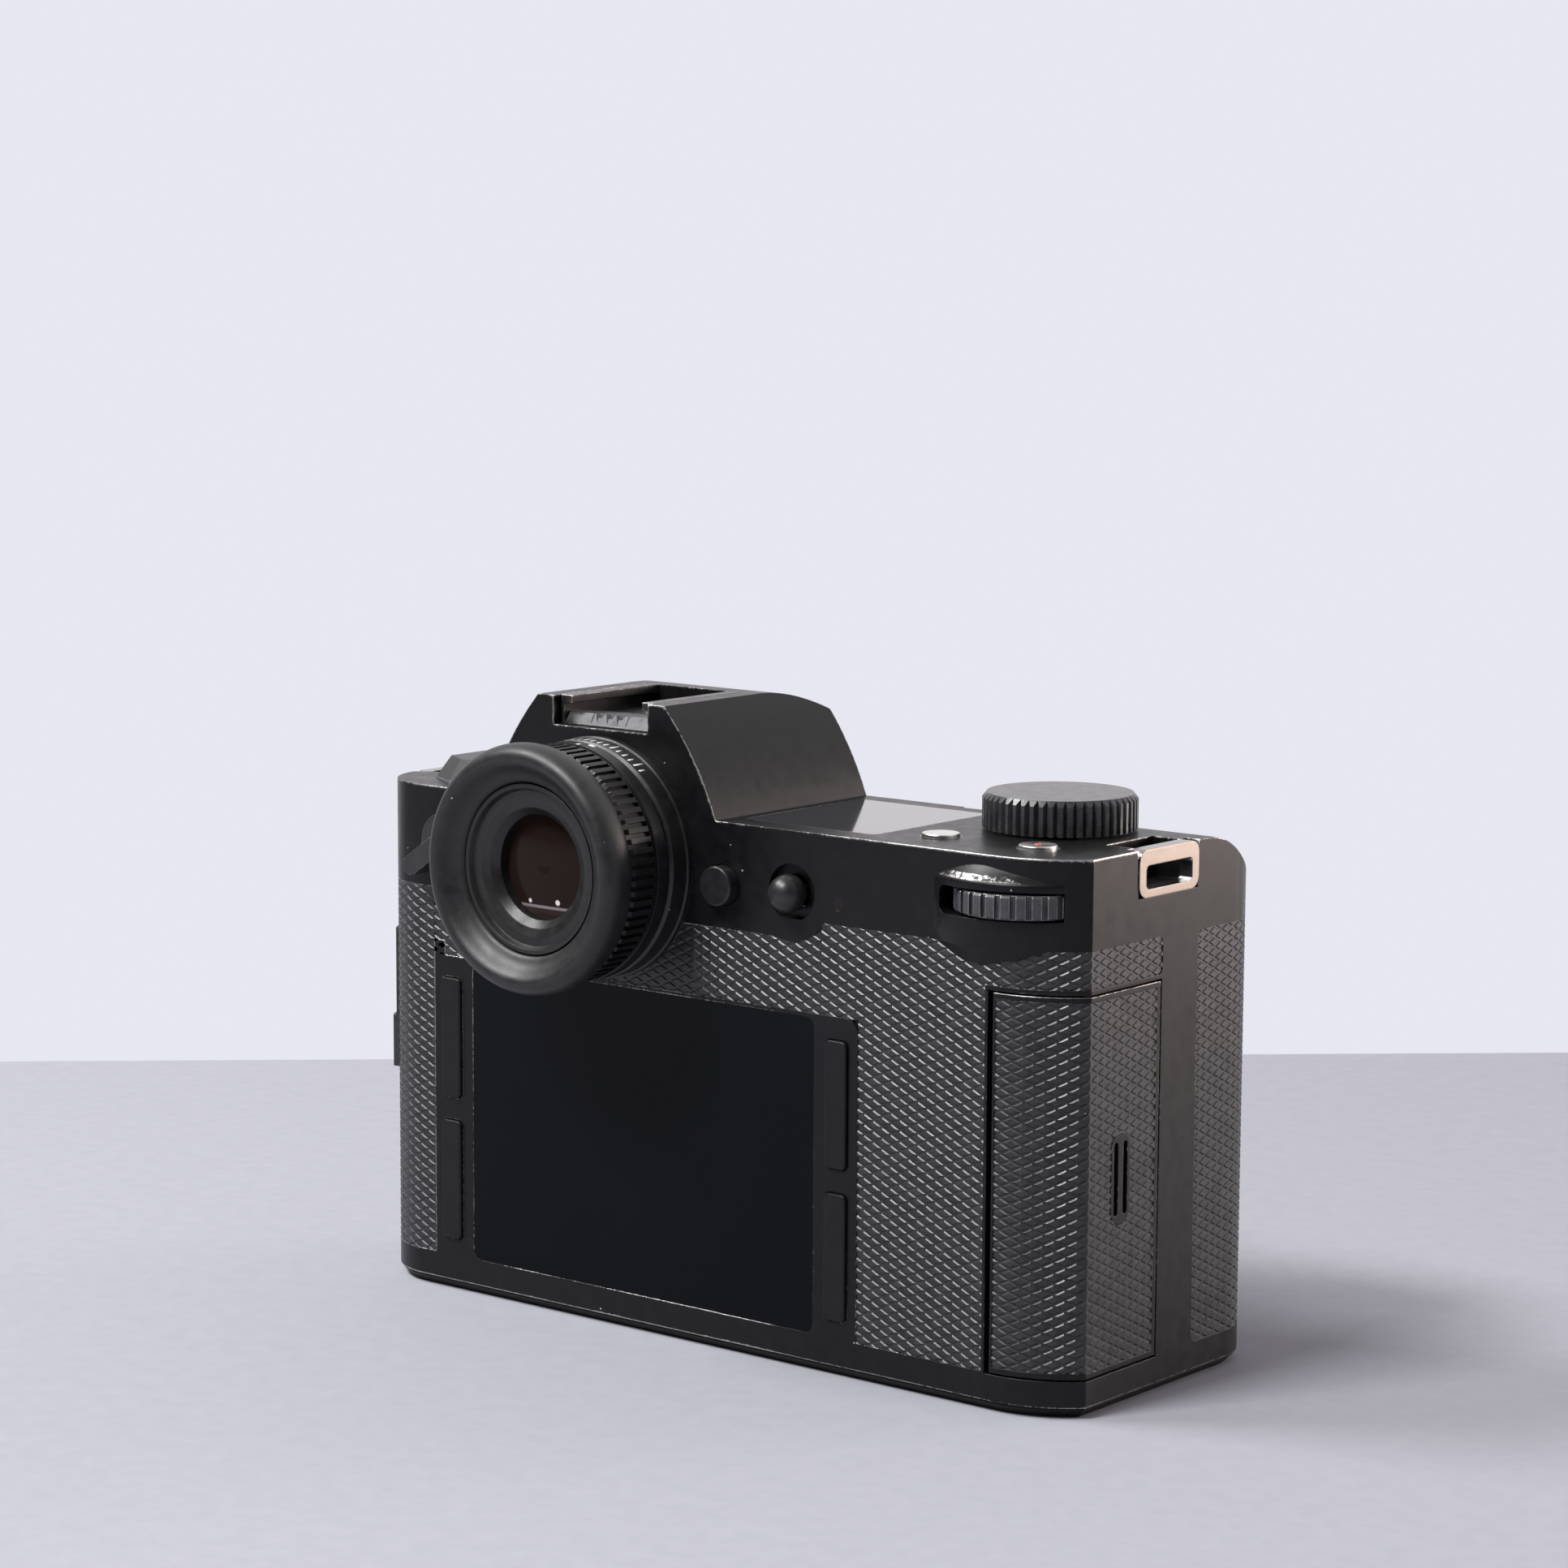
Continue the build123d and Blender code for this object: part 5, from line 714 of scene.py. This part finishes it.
# painted highlights: two pale round spots above the chord
for gleam_x, gleam_z, gleam_radius in painted_gleams:
    off_x = sums(lens_tree, "SUBTRACT", lens_x, gleam_x * mm)
    off_z = sums(lens_tree, "SUBTRACT", lens_z, gleam_z * mm)
    square = sums(lens_tree, "MULTIPLY_ADD", off_x, off_x, sums(lens_tree, "MULTIPLY", off_z, off_z))
    painted_gleam = spread(lens_tree, sums(lens_tree, "SQRT", square), gleam_radius * mm, 0.6 * gleam_radius * mm)
    lens_tint_and_painted_light = blend(lens_tree, painted_gleam, lens_tint_and_painted_light, (0.75, 0.72, 0.68))
lens_tree.links.new(lens_tint_and_painted_light, lens_colour)
dress(eye_lens_look, "eyepiece_lens")

# Eyecup: a thick ring of black rubber pressed over the tube's end, with a
# rounded rim that falls away to the lens.
cup_line = [(13.85, -36.8), (13.85, -33.7), (16.0, -33.62), (18.2, -33.62), (19.3, -33.8), (20.1, -34.5),
            (20.40, -35.6), (20.45, -36.9), (20.30, -37.9), (19.90, -38.9), (19.25, -39.65), (18.4, -40.03),
            (17.6, -39.9), (16.8, -39.2), (16.1, -38.3), (15.3, -37.6), (14.5, -37.2)]
cup = bmesh.new()
cup_verts = [cup.verts.new((r * mm, y * mm, 0)) for r, y in cup_line]
cup_edges = [cup.edges.new(pair) for pair in zip(cup_verts, cup_verts[1:] + cup_verts[:1])]
bmesh.ops.spin(cup, geom=cup_verts + cup_edges, cent=(0, 0, 0), axis=(0, 1, 0), angle=2 * pi, steps=72,
               use_merge=True)
bmesh.ops.recalc_face_normals(cup, faces=cup.faces[:])
bmesh.ops.translate(cup, verts=cup.verts, vec=(0, 0, finder_z * mm))
cup_look = coated("eyecup_rubber", (0.015, 0.015, 0.016), 0.45, dust=0.10, grain=0.25, grain_scale=1800.0,
                  round_edge=0.0)
cup_piece = add_piece("eyecup_rubber", cup, "camera_body", cup_look, angle=0)
smooth = cup_piece.modifiers.new("smooth", "SUBSURF")
smooth.levels = smooth.render_levels = 1
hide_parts("eyecup")

# Dioptre scale: white ticks printed on the collar, every fourth one longer,
# and a tick and a short bar printed on the ring that turns beside them.
tick_first, tick_last, tick_step, tick_middle = -6, 9, 4.1, 0.5
tick_width, tick_start, tick_end, short_tick_end = 0.34, -23.5, -21.2, -22.1
collar_radius, ring_radius, ink_height = 19.6, 19.5, 0.03
ink_look = coated("white_ink", (0.72, 0.72, 0.70), 0.5, round_edge=0.0, tint=0.1)


def tick_at(shape, angle, y_low, y_high, width, radius):
    """One printed tick: a thin block at an angle from the top, towards +X; sizes in mm."""
    made = bmesh.ops.create_cube(shape, size=1)["verts"]
    bmesh.ops.scale(shape, verts=made, vec=(width * mm, (y_high - y_low) * mm, 2 * ink_height * mm))
    bmesh.ops.translate(shape, verts=made, vec=(0, (y_low + y_high) / 2 * mm, radius * mm))
    bmesh.ops.rotate(shape, verts=made, cent=(0, 0, 0), matrix=Matrix.Rotation(radians(angle), 3, "Y"))
    bmesh.ops.translate(shape, verts=made, vec=(0, 0, finder_z * mm))


scale_marks = bmesh.new()
for i in range(tick_first, tick_last + 1):
    tick_at(scale_marks, tick_middle + tick_step * i, tick_start, short_tick_end if i % 4 else tick_end,
            tick_width, collar_radius)
add_piece("dioptre_scale", scale_marks, "camera_body", ink_look, angle=0)
index_mark = bmesh.new()
tick_at(index_mark, 5.5, -27.2, -26.2, 0.5, ring_radius)
tick_at(index_mark, 11.0, -25.9, -25.0, 1.3, ring_radius)
add_piece("dioptre_index", index_mark, "dioptre_ring", ink_look, angle=0)

# Screen: cover glass over a black panel, glued into a flush bed in the casing,
# and four long moulded keys beside it.
dress(glassy("screen_cover", (0.0022, 0.0027, 0.0040), coat=0.0, specular=0.10), "screen_glass")
dress(plastic_look, "screen_panel")
dress(coated("key_plastic", (0.0065, 0.0065, 0.0075), 0.42, bare=(0.14, 0.14, 0.14), wear=2.15, edge=0.3,
             dust=0.14, grain=0.15, specular=0.28),
      "key_left_upper", "key_left_lower", "key_right_upper", "key_right_lower")

# Back controls: the view button, the ball-topped joystick on its steel gimbal,
# the power switch, the ribbed thumb wheel of dark alloy and a small status lamp.
dress(coated("view_button_black", (0.011, 0.011, 0.012), 0.36, bare=(0.5, 0.5, 0.5), dust=0.08, grain=0.08),
      "view_button")
dress(button_look, "power_switch")
dress(steel_look, "joystick_gimbal", "joystick_stem")
dress(coated("joystick_rubber", (0.018, 0.018, 0.019), 0.34, dust=0.06, grain=0.08), "joystick_cap")
dress(coated("wheel_ribs", (0.050, 0.051, 0.055), 0.38, bare=(0.40, 0.40, 0.41), wear=2.2, edge=0.3,
             grain=0.25, grain_scale=1500.0), "thumb_wheel")
dress(glassy("status_window", (0.012, 0.007, 0.007), rough=0.12, coat=0.0, specular=0.2), "status_lamp")

# Card door: a painted metal door round the rear corner on a steel hinge link,
# with its own embossed skin, cut out round the finger catch.
door_low_z, door_high_z, door_start_x, door_end_y = 7.2, 64.6, 0.6, 4.2
catch_y, catch_z, catch_half, catch_radius = -4.9, 36.25, 4.8, 2.45
dress(steel_look, "door_hinge_link")
dress(coated("door_paint", black_paint, 0.36, bare=bare_metal, edge=0.3, dust=0.14, grain=0.10,
             specular=0.25, rubs=[("Z", 64.5, 65.2, 0.35)]), "card_door")
catch_s = side_s(catch_y)
door_sheet = embossed_sheet(
    "door_sheet", outline_starts["rear_corner"] + rear_radius * asin(door_start_x / rear_radius),
    side_s(door_end_y), door_low_z, door_high_z,
    [ring(catch_s, catch_z - catch_half, catch_radius, 20),
     ring(catch_s, catch_z + catch_half, catch_radius, 20),
     box_of(catch_s - catch_radius, catch_s + catch_radius, catch_z - catch_half, catch_z + catch_half)],
    "card_door", leather_look)
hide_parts("door_leather")

# Top controls: the window over the small display, the knurled dial, the shutter
# button on the grip's slope and two flat silver buttons, of which the right one
# has a red painted dot.
dot_place, dot_radius, dot_top_radius, dot_height = (80.2, -9.0, 87.13), 0.62 * mm, 0.55 * mm, 0.08 * mm
dress(glassy("top_window_glass", (0.020, 0.020, 0.024), rough=0.07, coat=0.6), "top_window")
dress(coated("silver_button", (0.80, 0.79, 0.76), 0.30, metallic=1.0, grain=0.12, tint=0.06),
      "top_button_left", "top_button_right", "shutter_button")
dress(coated("dial_black", (0.034, 0.034, 0.036), 0.27, bare=(0.62, 0.61, 0.60), edge=0.25, dust=0.12,
             grain=0.05, round_edge=0.08), "top_dial")
dot = bmesh.new()
bmesh.ops.create_cone(dot, cap_ends=True, segments=24, radius1=dot_radius, radius2=dot_top_radius,
                      depth=dot_height)
bmesh.ops.translate(dot, verts=dot.verts, vec=[c * mm for c in dot_place])
red_look = coated("red_paint", (0.58, 0.10, 0.07), 0.4, round_edge=0.0)
add_piece("record_dot", dot, "top_button_right", red_look, angle=30)

# Stage: a floor of pale paper, whose far edge makes the horizon, and a pale
# surround that reflections find darker on the camera's side.
floor_width, floor_depth, floor_far, floor_turn = 4.0, 2.2045, 0.2045, radians(42.28)
backdrop, soft_white = (0.80, 0.80, 0.88, 1), (0.80, 0.80, 0.84, 1)
floor_look = bpy.data.materials.new("floor_paper")
floor_look.use_nodes = True
floor_tree = floor_look.node_tree
floor_shader = floor_tree.nodes["Principled BSDF"]
fibre = noise(floor_tree, node_in(floor_tree, "TexCoord").outputs["Object"], 260.0, 5.0)
floor_tree.links.new(blend(floor_tree, fibre, (0.34, 0.34, 0.385), (0.40, 0.40, 0.445)),
                     floor_shader.inputs["Base Color"])
floor_shader.inputs["Roughness"].default_value = 0.85
ground = bmesh.new()
bmesh.ops.create_grid(ground, x_segments=1, y_segments=1, size=0.5)
bmesh.ops.scale(ground, verts=ground.verts, vec=(floor_width, floor_depth, 1))
bmesh.ops.translate(ground, verts=ground.verts, vec=(0, floor_far - floor_depth / 2, 0))
bmesh.ops.rotate(ground, verts=ground.verts, cent=(0, 0, 0), matrix=Matrix.Rotation(floor_turn, 3, "Z"))
floor_mesh = bpy.data.meshes.new("floor")
ground.to_mesh(floor_mesh)
ground.free()
floor_mesh.materials.append(floor_look)
floor = bpy.data.objects.new("floor", floor_mesh)
bpy.context.collection.objects.link(floor)

surround = bpy.data.worlds.new("surround")
bpy.context.scene.world = surround
surround.use_nodes = True
sky = surround.node_tree
sky.nodes.clear()
facing = along(sky, node_in(sky, "TexCoord").outputs["Generated"], "Y")
paper = blend(sky, spread(sky, facing, -0.35, 0.45), (0.03, 0.03, 0.035), (0.95, 0.92, 0.95))
rays = node_in(sky, "LightPath").outputs
seen = sums(sky, "MAXIMUM", rays["Is Glossy Ray"], rays["Is Transmission Ray"])
reflected = node_in(sky, "Background", Color=paper, Strength=1.0).outputs[0]
plain = node_in(sky, "Background", Color=backdrop, Strength=1.0).outputs[0]
soft = node_in(sky, "Background", Color=soft_white, Strength=0.45).outputs[0]
lit = node_in(sky, "MixShader", i0=seen, i1=soft, i2=reflected).outputs[0]
shown = node_in(sky, "MixShader", i0=rays["Is Camera Ray"], i1=lit, i2=plain).outputs[0]
sky.links.new(shown, node_in(sky, "OutputWorld").inputs["Surface"])

# Lamps: two soft boxes high behind the camera and to its left, and a large low
# warm one beyond the right end.


def soft_lamp(name, place, wide, high, power, target=(0.02, 0, 0.05), colour=(1, 1, 1)):
    """A soft box aimed at a point."""
    data = bpy.data.lights.new(name, "AREA")
    data.shape = "RECTANGLE"
    data.size, data.size_y = wide, high
    data.energy = power
    data.color = colour
    lamp = bpy.data.objects.new(name, data)
    bpy.context.collection.objects.link(lamp)
    lamp.location = place
    lamp.rotation_euler = (Vector(target) - Vector(place)).to_track_quat("-Z", "Y").to_euler()


soft_lamp("key", (-0.20, -0.90, 1.30), wide=0.45, high=0.32, power=22.0)
soft_lamp("window", (-0.87, -0.50, 1.28), wide=0.50, high=0.40, power=16.0)
soft_lamp("rim", (1.18, 1.48, 0.10), wide=0.8, high=0.8, power=30.0, target=(0.08, 0, 0.05),
          colour=(1.0, 0.84, 0.76))

# Camera: at the photograph's place and angle, with a 95.4 mm lens on a 36 mm
# wide frame.
azimuth, elevation, roll = radians(39.22), radians(7.784), radians(0.289)
camera_place = (0.44684, -0.51967, 0.18195)
view = bpy.data.cameras.new("view")
view.lens = 95.40
view.sensor_width = 36.0
view.clip_start = 0.01
view_camera = bpy.data.objects.new("view", view)
bpy.context.collection.objects.link(view_camera)
ahead = Vector((-sin(azimuth) * cos(elevation), cos(azimuth) * cos(elevation), -sin(elevation)))
level = Vector((cos(azimuth), sin(azimuth), 0))
upright = level.cross(ahead)
camera_right = level * cos(roll) + upright * sin(roll)
camera_up = upright * cos(roll) - level * sin(roll)
view_camera.matrix_world = Matrix((
    (camera_right.x, camera_up.x, -ahead.x, camera_place[0]),
    (camera_right.y, camera_up.y, -ahead.y, camera_place[1]),
    (camera_right.z, camera_up.z, -ahead.z, camera_place[2]), (0, 0, 0, 1)))
bpy.context.scene.camera = view_camera
bpy.context.scene.view_settings.view_transform = "Standard"
